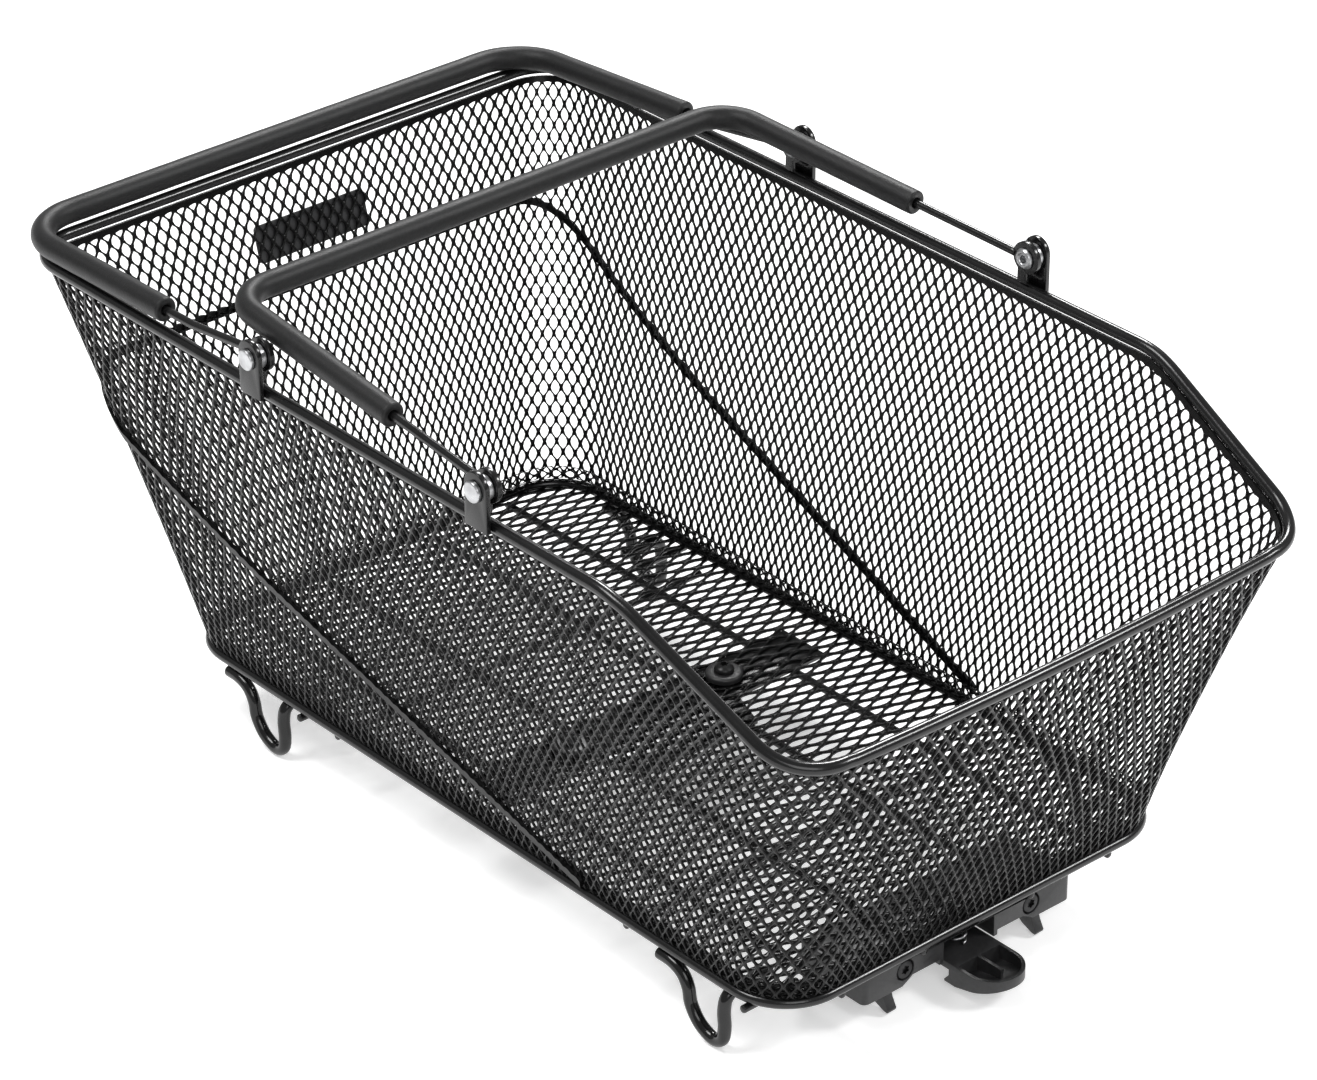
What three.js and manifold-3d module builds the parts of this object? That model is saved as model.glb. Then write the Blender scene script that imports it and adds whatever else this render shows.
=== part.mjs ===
// Bicycle rear-rack basket of black expanded metal, with two folding bail handles, four wire hooks
// and a quick-release rack adapter. Millimetres, +Z up, +X towards the low end with the adapter.
// The origin is on the ground, under the middle of the overall length and width.
import * as THREE from "three";
import { mergeVertices } from "three/addons/utils/BufferGeometryUtils.js";
import Module from "manifold-3d";

const wasm = await Module();
wasm.setup();

// ---- driving dimensions ----
const GAP = 0.3; // clearance between separate pieces that touch
const PAST = 1; // how far a cutter runs past the face it cuts

// bottom ring: a rounded rectangle of round rod
const RING = { rear: -195, front: 207, half: 112, corner: 27.5, z: 34, radius: 2.5 };

// top rim: level round the rear, sloping down into the front corners, slightly bowed in front
const RIM = { rear: -245, front: 250.2, half: 151, frontHalf: 142.5, corner: 24, radius: 2.75 };
const RIM_RISE = 189; // rim above ring along the rear and sides
const FRONT_RISE = 146; // rim above ring along the front
const RAMP = { top: 152, foot: 245, blend: 12 }; // where the rim slopes down, and its rounding
const FRONT_BOW = 3;

// sheet
const SHEET = 1.2;
const SEAM = {
  rearRise: 131,
  fall: 0.335,
  zeroX: 104,
  curveX: -90,
  curve: 0.0007,
  tipX: 86,
  endX: 96,
  steps: 6,
  height: 3.4,
  thick: 1.3,
};
const SEAM_PASSES = 12; // rounds that settle the seam's height on the slanting wall
const CORNER_STEPS = 6;
const SIDES = 10; // flats round a rod

// handles
const PIVOT = { z: 239, rearX: -73, frontX: 75 };
const BAIL = { radius: 1.9, gripRadius: 5.5, gripBore: 3, start: 6.2 };
const REAR_BAIL = {
  x: -248.4,
  z: 231.6,
  half: 142.6,
  skew: -8,
  bend: 26.6,
  gripStart: 67,
  kneeX: -120,
  kneeZ: 233.8,
};
const FRONT_BAIL = { x: -107.2, z: 248.2, half: 138.8, skew: 0, bend: 19, gripStart: 65 };
const KNEE_BEND = 60; // radius of the slight bend in the rear handle's arms
const EYE = {
  radius: 7.5,
  inner: 148,
  outer: 150.5,
  hole: 3,
  foot: 12.4,
  footBack: 4.6,
  footFront: 0.6,
};
const ARM_Y = (EYE.inner + EYE.outer) / 2; // the rods' centreline beside the pivots
const BRACKET = { half: 6.9, arch: 1.3, below: 17.4, thick: 2.5 };
const SPACER = { radius: 5.6, hole: 3 };
const RIVET = {
  shank: 2.7,
  head: 4.7,
  headThick: 1.8,
  headEdge: 0.8,
  flange: 4.8,
  flangeThick: 1.65,
  flangeEdge: 0.6,
  bore: 2,
  boreDepth: 3,
};

// floor wires, support plate and hooks
const WIRE = 1.8;
const RAIL_Y = { outer: 77, inner: 31 };
const CROSS_X = { rear: -90, front: 106 };
const CROSS_HALF = 108;
const STUB = { rearX: -108, frontX: 187, inner: 84, outer: 115 };
const PLATE = { x: -3, thick: 1.6, armHalf: 14, reach: 94, padFront: 36, padHalf: 33, slant: 8 };
const FLOOR_SCREW = { y: 45, hole: 2.8, shank: 2.5, head: 4.6, headThick: 3.4, end: 27.5 };
const WASHER = { radius: 8.8, thick: 2.8, chamfer: 1.2 };
const NUT = { radius: 4.6, thick: 3 };
const HOOK = { radius: 2.9, y: 112, rearX: -123, frontX: 173, bend: 7, reach: 24, steps: 30 };

// rack adapter under the front edge; heights are below the ring's centreline
const ADAPTER = { back: 161, front: 201, half: 60, top: -9, side: -22, middle: -18.5, round: 3 };
const ADAPTER_PLATE = { back: 165, front: 198, half: 57, top: -6.7, thick: 2 };
const STEP = { outer: 38, inner: 32 };
const RECESS = { half: 14.5, lip: 17, lipZ: -21, top: -10.5, back: 178 };
const CLAW = { y: 43, half: 2.5 };
const LEVER = {
  half: 13.5,
  back: 180,
  tip: 229,
  top: -20.4,
  plate: 3.2,
  wall: 203,
  nose: 200.5,
  noseThick: 1,
  noseSlope: 3,
  heel: 4,
  root: -30.4,
  end: -25,
};
const POCKET = { back: 207, front: 227, half: 11.8, rib: 0.8, ribEnd: 221, depth: 7, tipDepth: 3.5 };
const LEVER_PIN = { x: 184, z: -21.5, radius: 1.4, hub: 3.2, half: 18 };
const SPRING = { x: 193.5, radius: 3.9, wire: 0.6, turns: 2.5 };
const ADAPTER_SCREW = { y: 36.5, z: -14.2, head: 4.6, sink: 5, depth: 1.8, shank: 1.9, length: 14 };

// blank badge plate behind the rear wall
const BADGE = { half: 31.5, height: 18, thick: 1, rise: 154 };

// ---- materials ----
const paint = (color, roughness, metalness) =>
  new THREE.MeshStandardMaterial({ color, roughness, metalness });
const finishes = {
  rod: () => paint(0x17181a, 0.42, 0.4),
  sheet: () => paint(0x141516, 0.45, 0.4),
  foam: () => paint(0x2a2b2d, 0.85, 0),
  plastic: () => paint(0x26272a, 0.6, 0),
  zinc: () => paint(0xc2c4c6, 0.3, 1),
  blackScrew: () => paint(0x1a1a1b, 0.35, 0.7),
  badge: () => paint(0x3a3b3d, 0.55, 0.2),
};

const basket = new THREE.Group();

function add(name, geometry, finish, position = [0, 0, 0]) {
  const mesh = new THREE.Mesh(geometry, finishes[finish]());
  mesh.name = name;
  mesh.position.set(...position);
  basket.add(mesh);
  return mesh;
}

// ---- general shapes ----

// A path through listed points, with straight stretches between them and mitred joints.
class WirePath extends THREE.Curve {
  constructor(points, closed = false) {
    super();
    this.points = points;
    this.closed = closed;
    this.spans = closed ? points.length : points.length - 1;
  }
  at(index) {
    const count = this.points.length;
    return this.closed ? this.points[((index % count) + count) % count] : this.points[index];
  }
  getPoint(t, target = new THREE.Vector3()) {
    const place = Math.min(Math.max(t, 0), 1) * this.spans;
    const span = Math.min(Math.floor(place + 1e-9), this.spans - 1);
    return target.lerpVectors(this.at(span), this.at(span + 1), place - span);
  }
  getPointAt(u, target) {
    return this.getPoint(u, target);
  }
  getTangentAt(u, target = new THREE.Vector3()) {
    const index = Math.round(u * this.spans);
    const before = this.closed || index > 0 ? index - 1 : index;
    const after = this.closed || index < this.spans ? index + 1 : index;
    const into = new THREE.Vector3().subVectors(this.at(index), this.at(before)).normalize();
    const out = new THREE.Vector3().subVectors(this.at(after), this.at(index)).normalize();
    return target.addVectors(into, out).normalize();
  }
}

const disc = (radius, sides = SIDES) =>
  Array.from({ length: sides }, (_, i) => {
    const angle = (i * 2 * Math.PI) / sides;
    return new THREE.Vector2(radius * Math.cos(angle), radius * Math.sin(angle));
  });

const loopRod = (points, radius, sides = SIDES) => {
  const path = new WirePath(points, true);
  return new THREE.TubeGeometry(path, path.spans, radius, sides, true);
};

function openRod(points, radius, bore = 0, sides = SIDES) {
  const path = new WirePath(points);
  const section = new THREE.Shape(disc(radius, sides));
  if (bore) section.holes.push(new THREE.Path(disc(bore, sides)));
  return new THREE.ExtrudeGeometry(section, { steps: path.spans, extrudePath: path });
}

// Rounds each inner corner of a polyline with an arc of its own radius.
function filleted(corners, radii, steps = CORNER_STEPS) {
  const points = [corners[0]];
  for (let i = 1; i < corners.length - 1; i += 1) {
    const radius = radii[i - 1];
    const back = new THREE.Vector3().subVectors(corners[i - 1], corners[i]).normalize();
    const onward = new THREE.Vector3().subVectors(corners[i + 1], corners[i]).normalize();
    const half = back.angleTo(onward) / 2;
    const middle = new THREE.Vector3().addVectors(back, onward).normalize();
    const centre = corners[i].clone().addScaledVector(middle, radius / Math.sin(half));
    const from = corners[i].clone().addScaledVector(back, radius / Math.tan(half)).sub(centre);
    const to = corners[i].clone().addScaledVector(onward, radius / Math.tan(half)).sub(centre);
    const turn = from.angleTo(to);
    const axis = new THREE.Vector3().crossVectors(from, to).normalize();
    for (let k = 0; k <= steps; k += 1) {
      points.push(from.clone().applyAxisAngle(axis, (turn * k) / steps).add(centre));
    }
  }
  points.push(corners[corners.length - 1]);
  return points;
}

// A closed skin through a row of sections that all have the same number of points.
function loft(sections, closed) {
  const width = sections[0].length;
  const vertices = sections.flat().flatMap((p) => [p.x, p.y, p.z]);
  const faces = [];
  const spans = closed ? sections.length : sections.length - 1;
  for (let i = 0; i < spans; i += 1) {
    const here = i * width;
    const next = ((i + 1) % sections.length) * width;
    for (let j = 0; j < width; j += 1) {
      const k = (j + 1) % width;
      faces.push(here + j, next + j, next + k, here + j, next + k, here + k);
    }
  }
  if (!closed) {
    const last = (sections.length - 1) * width;
    for (let j = 1; j < width - 1; j += 1) {
      faces.push(0, j, j + 1);
      faces.push(last, last + j + 1, last + j);
    }
  }
  const geometry = new THREE.BufferGeometry();
  geometry.setAttribute("position", new THREE.Float32BufferAttribute(vertices, 3));
  geometry.setIndex(faces);
  return geometry;
}

// An outline in the X-Z plane, given thickness along Y from y0 to y1.
function plateXZ(shape, y0, y1, segments = 8) {
  const depth = y1 - y0;
  const geometry = new THREE.ExtrudeGeometry(shape, { depth, bevelEnabled: false, curveSegments: segments });
  return geometry.rotateX(Math.PI / 2).translate(0, y1, 0);
}

const box = (x0, x1, y0, y1, z0, z1) =>
  new THREE.BoxGeometry(x1 - x0, y1 - y0, z1 - z0).translate((x0 + x1) / 2, (y0 + y1) / 2, (z0 + z1) / 2);

// ---- joins and cuts ----
function solid(geometry) {
  const bare = new THREE.BufferGeometry();
  bare.setAttribute("position", geometry.getAttribute("position").clone());
  if (geometry.index) bare.setIndex(geometry.index.clone());
  const merged = mergeVertices(bare, 1e-4);
  return new wasm.Manifold(
    new wasm.Mesh({
      numProp: 3,
      vertProperties: new Float32Array(merged.attributes.position.array),
      triVerts: new Uint32Array(merged.index.array),
    }),
  );
}

function geometryOf(manifold) {
  const mesh = manifold.getMesh();
  const geometry = new THREE.BufferGeometry();
  geometry.setAttribute("position", new THREE.Float32BufferAttribute(mesh.vertProperties, 3));
  geometry.setIndex(Array.from(mesh.triVerts));
  return geometry;
}

const joined = (...geometries) => geometries.map(solid).reduce((whole, next) => whole.add(next));
const cut = (whole, ...tools) => tools.map(solid).reduce((rest, tool) => rest.subtract(tool), whole);

// ---- the basket's outline ----

// Height of the rim's centreline above the ring's, with both bends of the slope rounded.
function rimRise(x) {
  const slope = (FRONT_RISE - RIM_RISE) / (RAMP.foot - RAMP.top);
  const ramped = (from) => {
    const past = x - from;
    if (past <= -RAMP.blend) return 0;
    if (past >= RAMP.blend) return past;
    return (past + RAMP.blend) ** 2 / (4 * RAMP.blend);
  };
  return RIM_RISE + slope * (ramped(RAMP.top) - ramped(RAMP.foot));
}

const rimHalf = (x) => {
  const along = Math.max(0, (x - RAMP.top) / (RIM.front - RAMP.top));
  return RIM.half + (RIM.frontHalf - RIM.half) * along;
};

const ringPoint = (x, y) => new THREE.Vector3(x, y, RING.z);
const rimPoint = (x, y) => new THREE.Vector3(x, y, RING.z + rimRise(x));

// One place round the basket: its points on the ring and rim, and the outward direction in plan.
function station(ring, rim, angle) {
  return { ring, rim, out: new THREE.Vector3(Math.cos(angle), Math.sin(angle), 0) };
}

const RIM_SIDE = [RIM.rear + RIM.corner, RIM.front - RIM.corner];
const RING_SIDE = [RING.rear + RING.corner, RING.front - RING.corner];
const onRim = (x) => THREE.MathUtils.inverseLerp(...RIM_SIDE, x);
const onRing = (x) => THREE.MathUtils.inverseLerp(...RING_SIDE, x);

// A place on a long side, a fraction of the way from the rear corner to the front one.
// side is -1 for the right side and 1 for the left.
function sideStation(side, along) {
  const rimX = THREE.MathUtils.lerp(...RIM_SIDE, along);
  const ringX = THREE.MathUtils.lerp(...RING_SIDE, along);
  const rim = rimPoint(rimX, side * rimHalf(rimX));
  return station(ringPoint(ringX, side * RING.half), rim, (side * Math.PI) / 2);
}

// The corner arc at one end of the basket, sweeping from angle a0 to a1 in plan.
function cornerStations(end, side, a0, a1) {
  const front = end === "front";
  const ringX = front ? RING.front - RING.corner : RING.rear + RING.corner;
  const rimX = front ? RIM.front - RIM.corner : RIM.rear + RIM.corner;
  const rimStart = side * (rimHalf(rimX) - RIM.corner);
  const stations = [];
  for (let k = 0; k <= CORNER_STEPS; k += 1) {
    const angle = THREE.MathUtils.lerp(a0, a1, k / CORNER_STEPS);
    const c = Math.cos(angle);
    const s = Math.sin(angle);
    const ring = ringPoint(ringX + RING.corner * c, side * (RING.half - RING.corner) + RING.corner * s);
    const x = rimX + RIM.corner * c;
    const taper = front ? (rimHalf(x) - rimHalf(rimX)) * side : 0;
    stations.push(station(ring, rimPoint(x, rimStart + RIM.corner * s + taper), angle));
  }
  return stations;
}

const spread = (from, to, steps) =>
  Array.from({ length: steps + 1 }, (_, i) => THREE.MathUtils.lerp(from, to, i / steps));

// Fractions along a side: the level stretch, the seam's end, the bend, and the slope.
const SEAM_SPREAD = spread(0, onRing(SEAM.tipX), SEAM.steps).slice(1);
const SIDE_PLACES = [
  ...SEAM_SPREAD,
  onRing(SEAM.endX),
  ...spread(onRim(RAMP.top - RAMP.blend), onRim(RAMP.top + RAMP.blend), 4),
  ...spread(onRim(RAMP.top + RAMP.blend), 1, 2).slice(1, -1),
];

// The front edge between its corners, bowed forwards by a parabola.
const FRONT_STEPS = 8;
function frontStations() {
  const ringHalf = RING.half - RING.corner;
  const rimEnd = rimHalf(RIM.front) - RIM.corner;
  return Array.from({ length: FRONT_STEPS - 1 }, (_, i) => {
    const across = -1 + (2 * (i + 1)) / FRONT_STEPS;
    const bow = FRONT_BOW * (1 - across * across);
    const rim = new THREE.Vector3(RIM.front + bow, rimEnd * across, RING.z + FRONT_RISE);
    return station(ringPoint(RING.front, ringHalf * across), rim, 0);
  });
}

const QUARTER = Math.PI / 2;
const outline = [
  ...cornerStations("rear", -1, -2 * QUARTER, -QUARTER),
  ...SIDE_PLACES.map((along) => sideStation(-1, along)),
  ...cornerStations("front", -1, -QUARTER, 0),
  ...frontStations(),
  ...cornerStations("front", 1, 0, QUARTER),
  ...SIDE_PLACES.map((along) => sideStation(1, along)).reverse(),
  ...cornerStations("rear", 1, QUARTER, 2 * QUARTER),
];

// ---- the wall, as a ruled sheet between ring and rim ----
function wallPoint(place, rise, offset) {
  const slant = new THREE.Vector3().subVectors(place.rim, place.ring);
  const along = rise / slant.z;
  const leanOut = slant.dot(place.out);
  const normal = new THREE.Vector3(place.out.x * slant.z, place.out.y * slant.z, -leanOut).normalize();
  return new THREE.Vector3().copy(place.ring).addScaledVector(slant, along).addScaledVector(normal, offset);
}

const wallTop = (place) => place.rim.z - RING.z - RIM.radius - 2 * GAP;
const WALL_FOOT = RING.radius + GAP;

// Height of the seam at a place on a long side: it falls forwards, a little faster near the rear.
// The wall's lines slant, so the height and the place it is taken at are found together.
function sideSeamRise(place) {
  const slantX = (place.rim.x - place.ring.x) / (place.rim.z - place.ring.z);
  let rise = 0;
  for (let pass = 0; pass < SEAM_PASSES; pass += 1) {
    const x = place.ring.x + slantX * rise;
    rise = SEAM.fall * (SEAM.zeroX - x) + SEAM.curve * Math.max(0, SEAM.curveX - x) ** 2;
  }
  return rise;
}

// Height of the seam: level across the rear, and climbing to that level round each rear corner.
function seamRise(place) {
  if (place.out.x > -1e-6) return sideSeamRise(place);
  return THREE.MathUtils.lerp(sideSeamRise(sideStation(1, 0)), SEAM.rearRise, -place.out.x);
}

const strip = (place, low, high, inner, outer) => [
  wallPoint(place, low, inner),
  wallPoint(place, low, outer),
  wallPoint(place, high, outer),
  wallPoint(place, high, inner),
];

function upperWall() {
  const foot = (place) => Math.max(WALL_FOOT, seamRise(place) + GAP / 2);
  const sections = outline.map((place) =>
    strip(place, place.out.x > 1e-6 ? WALL_FOOT : foot(place), wallTop(place), -SHEET / 2, SHEET / 2));
  return loft(sections, true);
}

// The lower panel and its seam run round the rear between the two ends of the seam.
const seamSide = (side) => SEAM_SPREAD.map((along) => sideStation(side, along));
const seamPlaces = [
  ...seamSide(-1).reverse(),
  ...cornerStations("rear", -1, -2 * QUARTER, -QUARTER).reverse(),
  ...cornerStations("rear", 1, QUARTER, 2 * QUARTER).reverse(),
  ...seamSide(1),
];

const lowerWall = () =>
  loft(
    seamPlaces.map((place) => strip(place, WALL_FOOT, seamRise(place) - GAP / 2, SHEET / 2, -SHEET / 2)),
    false,
  );

function seamBand() {
  const inner = SHEET / 2 + GAP;
  const half = SEAM.height / 2;
  return loft(
    seamPlaces.map((place) => {
      const rise = seamRise(place);
      return strip(place, rise - half, rise + half, inner + SEAM.thick, inner);
    }),
    false,
  );
}

add("top_rim", loopRod(outline.map((place) => place.rim), RIM.radius), "rod");
add("bottom_ring", loopRod(outline.map((place) => place.ring), RING.radius), "rod");
add("wall_mesh_upper", upperWall(), "sheet");
add("wall_mesh_lower", lowerWall(), "sheet");
add("seam_band", seamBand(), "sheet");

// ---- blank badge plate, flat against the outside of the rear wall ----
const rearPlace = station(ringPoint(RING.rear, 0), rimPoint(RIM.rear, 0), Math.PI);
const rearLean = Math.atan2(RING.rear - RIM.rear, RIM_RISE);
const badge = new THREE.BoxGeometry(BADGE.thick, 2 * BADGE.half, BADGE.height).rotateY(-rearLean);
const badgeAt = wallPoint(rearPlace, BADGE.rise, SHEET / 2 + GAP + BADGE.thick / 2);
add("badge_plate", badge, "badge", badgeAt.toArray());

// ---- floor ----
function roundedPlate(x0, x1, half, corner, z0, z1, steps = CORNER_STEPS) {
  const shape = new THREE.Shape();
  shape.absarc(x1 - corner, half - corner, corner, 0, QUARTER);
  shape.absarc(x0 + corner, half - corner, corner, QUARTER, 2 * QUARTER);
  shape.absarc(x0 + corner, corner - half, corner, 2 * QUARTER, 3 * QUARTER);
  shape.absarc(x1 - corner, corner - half, corner, 3 * QUARTER, 4 * QUARTER);
  return raised(shape, z0, z1, steps);
}

// An outline in the X-Y plane, given thickness from z0 to z1.
function raised(shape, z0, z1, steps = CORNER_STEPS) {
  const depth = z1 - z0;
  const geometry = new THREE.ExtrudeGeometry(shape, { depth, bevelEnabled: false, curveSegments: steps });
  return geometry.translate(0, 0, z0);
}

const upright = (radius, x, y, z0, z1, sides = 16) =>
  new THREE.CylinderGeometry(radius, radius, z1 - z0, sides).rotateX(QUARTER).translate(x, y, (z0 + z1) / 2);

const FLOOR_TOP = RING.z + SHEET / 2;
const FLOOR_UNDER = RING.z - SHEET / 2;
const screwSpots = [["right", -1], ["left", 1]];
const screwHole = (side) =>
  upright(FLOOR_SCREW.hole, PLATE.x, side * FLOOR_SCREW.y, RING.z - RING.radius, RING.z + RING.radius);
const screwHoles = () => screwSpots.map(([, side]) => screwHole(side));

const inset = RING.radius + GAP;
const floorSheet = roundedPlate(
  RING.rear + inset, RING.front - inset, RING.half - inset, RING.corner - inset, FLOOR_UNDER, FLOOR_TOP);
add("floor_mesh", geometryOf(cut(solid(floorSheet), ...screwHoles())), "sheet");

const underRing = RING.z - RING.radius - GAP;
const straight = (from, to, radius, sides = 8) =>
  openRod([new THREE.Vector3(...from), new THREE.Vector3(...to)], radius, 0, sides);

const railZ = underRing - WIRE;
for (const [side, sign] of screwSpots) {
  for (const [place, y] of Object.entries(RAIL_Y)) {
    const rail = straight([RING.rear, sign * y, railZ], [RING.front, sign * y, railZ], WIRE);
    add(`floor_rail_${side}_${place}`, rail, "rod");
  }
}

const crossZ = railZ - 2 * WIRE - GAP;
for (const [end, x] of Object.entries(CROSS_X)) {
  add(`cross_wire_${end}`, straight([x, -CROSS_HALF, crossZ], [x, CROSS_HALF, crossZ], WIRE), "rod");
}

// ---- support plate, held to the floor by two screws with broad washers ----
function supportPlate() {
  const { x, armHalf, reach, padFront, padHalf, slant } = PLATE;
  const right = [
    [x - armHalf, -reach],
    [x + armHalf, -reach],
    [x + armHalf, -padHalf - slant],
    [x + padFront, -padHalf],
  ];
  const left = right.map(([px, py]) => [px, -py]).reverse();
  const shape = new THREE.Shape([...right, ...left].map((p) => new THREE.Vector2(...p)));
  const top = FLOOR_UNDER - GAP;
  return geometryOf(cut(solid(raised(shape, top - PLATE.thick, top)), ...screwHoles()));
}
add("support_plate", supportPlate(), "rod");

const lathe = (profile, sides = 20) =>
  new THREE.LatheGeometry(profile.map((p) => new THREE.Vector2(...p)), sides);

const washerBase = FLOOR_TOP + GAP;
const washerTop = washerBase + WASHER.thick;
for (const [side, sign] of screwSpots) {
  const at = [PLATE.x, sign * FLOOR_SCREW.y, 0];
  const washer = lathe([
    [FLOOR_SCREW.hole, washerBase],
    [WASHER.radius, washerBase],
    [WASHER.radius, washerTop - WASHER.chamfer],
    [WASHER.radius - WASHER.chamfer, washerTop],
    [FLOOR_SCREW.hole, washerTop],
    [FLOOR_SCREW.hole, washerBase],
  ]).rotateX(QUARTER);
  add(`floor_washer_${side}`, washer, "plastic", at);

  const seat = washerTop + GAP;
  const screw = lathe([
    [0, FLOOR_SCREW.end],
    [FLOOR_SCREW.shank, FLOOR_SCREW.end],
    [FLOOR_SCREW.shank, seat],
    [FLOOR_SCREW.head, seat],
    [FLOOR_SCREW.head, seat + FLOOR_SCREW.headThick / 3],
    [FLOOR_SCREW.head * 0.7, seat + FLOOR_SCREW.headThick],
    [0, seat + FLOOR_SCREW.headThick],
  ]).rotateX(QUARTER);
  add(`floor_screw_${side}`, screw, "blackScrew", at);

  const nutTop = FLOOR_UNDER - PLATE.thick - 2 * GAP;
  const hexagon = new THREE.Shape(disc(NUT.radius, 6));
  hexagon.holes.push(new THREE.Path(disc(FLOOR_SCREW.hole, 12)));
  add(`floor_nut_${side}`, raised(hexagon, nutTop - NUT.thick, nutTop), "blackScrew", at);
}

// ---- four wire hooks: a tail under the ring, a curved leg, a round foot and a straight leg ----
const HOOK_SIDE = [
  [-41, -5.7],
  [-32, -5.9],
  [-25.5, -8.6],
  [-22, -14],
  [-20.4, -21],
  [-15, -28],
  [-6.5, -31.3],
  [-1, -28.5],
  [0.4, -22],
  [0, -14],
];

function hook(x, sign) {
  const points = HOOK_SIDE.map(([dx, dz]) => new THREE.Vector3(x + dx, sign * HOOK.y, RING.z + dz));
  points.push(new THREE.Vector3(x, sign * (HOOK.y - 1.5), RING.z - 8));
  points.push(new THREE.Vector3(x, sign * (HOOK.y - HOOK.bend), underRing - HOOK.radius));
  points.push(new THREE.Vector3(x, sign * (HOOK.y - HOOK.reach), underRing - HOOK.radius));
  const curve = new THREE.CatmullRomCurve3(points);
  const section = new THREE.Shape(disc(HOOK.radius, 8));
  return new THREE.ExtrudeGeometry(section, { steps: HOOK.steps, extrudePath: curve });
}

for (const [side, sign] of screwSpots) {
  for (const end of ["rear", "front"]) {
    add(`hook_${end}_${side}`, hook(HOOK[`${end}X`], sign), "rod");
    const x = STUB[`${end}X`];
    const stub = straight([x, sign * STUB.inner, railZ], [x, sign * STUB.outer, railZ], WIRE);
    add(`hook_stay_${end}_${side}`, stub, "rod");
  }
}

// ---- handle brackets and rivets ----
const bracketInner = RIM.half + RIM.radius + GAP;
const bracketOuter = bracketInner + BRACKET.thick;

function bracket(x, sign) {
  const shape = new THREE.Shape();
  shape.moveTo(-BRACKET.half, -BRACKET.below);
  shape.lineTo(BRACKET.half, -BRACKET.below);
  shape.lineTo(BRACKET.half, BRACKET.arch);
  shape.absarc(0, BRACKET.arch, BRACKET.half, 0, Math.PI);
  shape.closePath();
  shape.holes.push(new THREE.Path(disc(EYE.hole, 16)));
  const [y0, y1] = sign > 0 ? [bracketInner, bracketOuter] : [-bracketOuter, -bracketInner];
  return plateXZ(shape, y0, y1).translate(x, 0, PIVOT.z);
}

// Round about Y: the head outside the bracket, the rolled end inside the handle's eye.
function rivet(x, sign) {
  const headBase = bracketOuter + GAP;
  const headTop = headBase + RIVET.headThick;
  const flangeTop = EYE.inner - GAP;
  const flangeEnd = flangeTop - RIVET.flangeThick;
  const profile = lathe([
    [0, flangeEnd + RIVET.boreDepth],
    [RIVET.bore, flangeEnd + RIVET.boreDepth],
    [RIVET.bore, flangeEnd],
    [RIVET.flange - RIVET.flangeEdge, flangeEnd],
    [RIVET.flange, flangeEnd + RIVET.flangeEdge],
    [RIVET.flange, flangeTop],
    [RIVET.shank, flangeTop],
    [RIVET.shank, headBase],
    [RIVET.head, headBase],
    [RIVET.head, headTop - RIVET.headEdge],
    [RIVET.head - RIVET.headEdge, headTop],
    [0, headTop],
  ]);
  return (sign > 0 ? profile : profile.rotateX(Math.PI)).translate(x, 0, PIVOT.z);
}

// A washer on the rivet that keeps the handle's eye clear of the bracket.
function spacer(x, sign) {
  const near = EYE.outer + GAP;
  const far = bracketInner - GAP;
  const profile = lathe([
    [SPACER.hole, near],
    [SPACER.radius, near],
    [SPACER.radius, far],
    [SPACER.hole, far],
    [SPACER.hole, near],
  ]);
  return (sign > 0 ? profile : profile.rotateX(Math.PI)).translate(x, 0, PIVOT.z);
}

// ---- folding bail handles ----
function eye(x, sign) {
  const { radius, foot, footBack, footFront } = EYE;
  const shape = new THREE.Shape();
  const front = Math.atan2(-Math.sqrt(radius ** 2 - footFront ** 2), footFront);
  const back = Math.atan2(-Math.sqrt(radius ** 2 - footBack ** 2), -footBack);
  shape.moveTo(-footBack, -foot);
  shape.lineTo(footFront, -foot);
  shape.absarc(0, 0, radius, front, back + 2 * Math.PI);
  shape.closePath();
  shape.holes.push(new THREE.Path(disc(EYE.hole, 16)));
  const [y0, y1] = sign > 0 ? [EYE.inner, EYE.outer] : [-EYE.outer, -EYE.inner];
  return plateXZ(shape, y0, y1).translate(x, 0, PIVOT.z);
}

// Where a handle's arm meets a plane of constant x, on its way from the pivot to the corner.
function armPoint(pivotX, bail, sign, x) {
  const along = (x - pivotX) / (bail.x - pivotX);
  const y = sign * THREE.MathUtils.lerp(ARM_Y, bail.half, along) + bail.skew * along;
  if (!bail.kneeZ) return new THREE.Vector3(x, y, THREE.MathUtils.lerp(PIVOT.z, bail.z, along));
  const [fromX, fromZ] = x > bail.kneeX ? [pivotX, PIVOT.z] : [bail.x, bail.z];
  const z = THREE.MathUtils.mapLinear(x, bail.kneeX, fromX, bail.kneeZ, fromZ);
  return new THREE.Vector3(x, y, z);
}

// The handle's centreline, starting and ending at a given distance behind the pivots.
function bailPath(pivotX, bail, start) {
  const corner = (sign) => new THREE.Vector3(bail.x, sign * bail.half + bail.skew, bail.z);
  const knee = (sign) => {
    if (!bail.kneeZ || pivotX - start <= bail.kneeX) return [];
    return [armPoint(pivotX, bail, sign, bail.kneeX)];
  };
  const arm = (sign) => [armPoint(pivotX, bail, sign, pivotX - start), ...knee(sign)];
  const bends = [...knee(-1).map(() => KNEE_BEND), bail.bend, bail.bend, ...knee(1).map(() => KNEE_BEND)];
  return filleted([...arm(-1), corner(-1), corner(1), ...arm(1).reverse()], bends);
}

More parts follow.
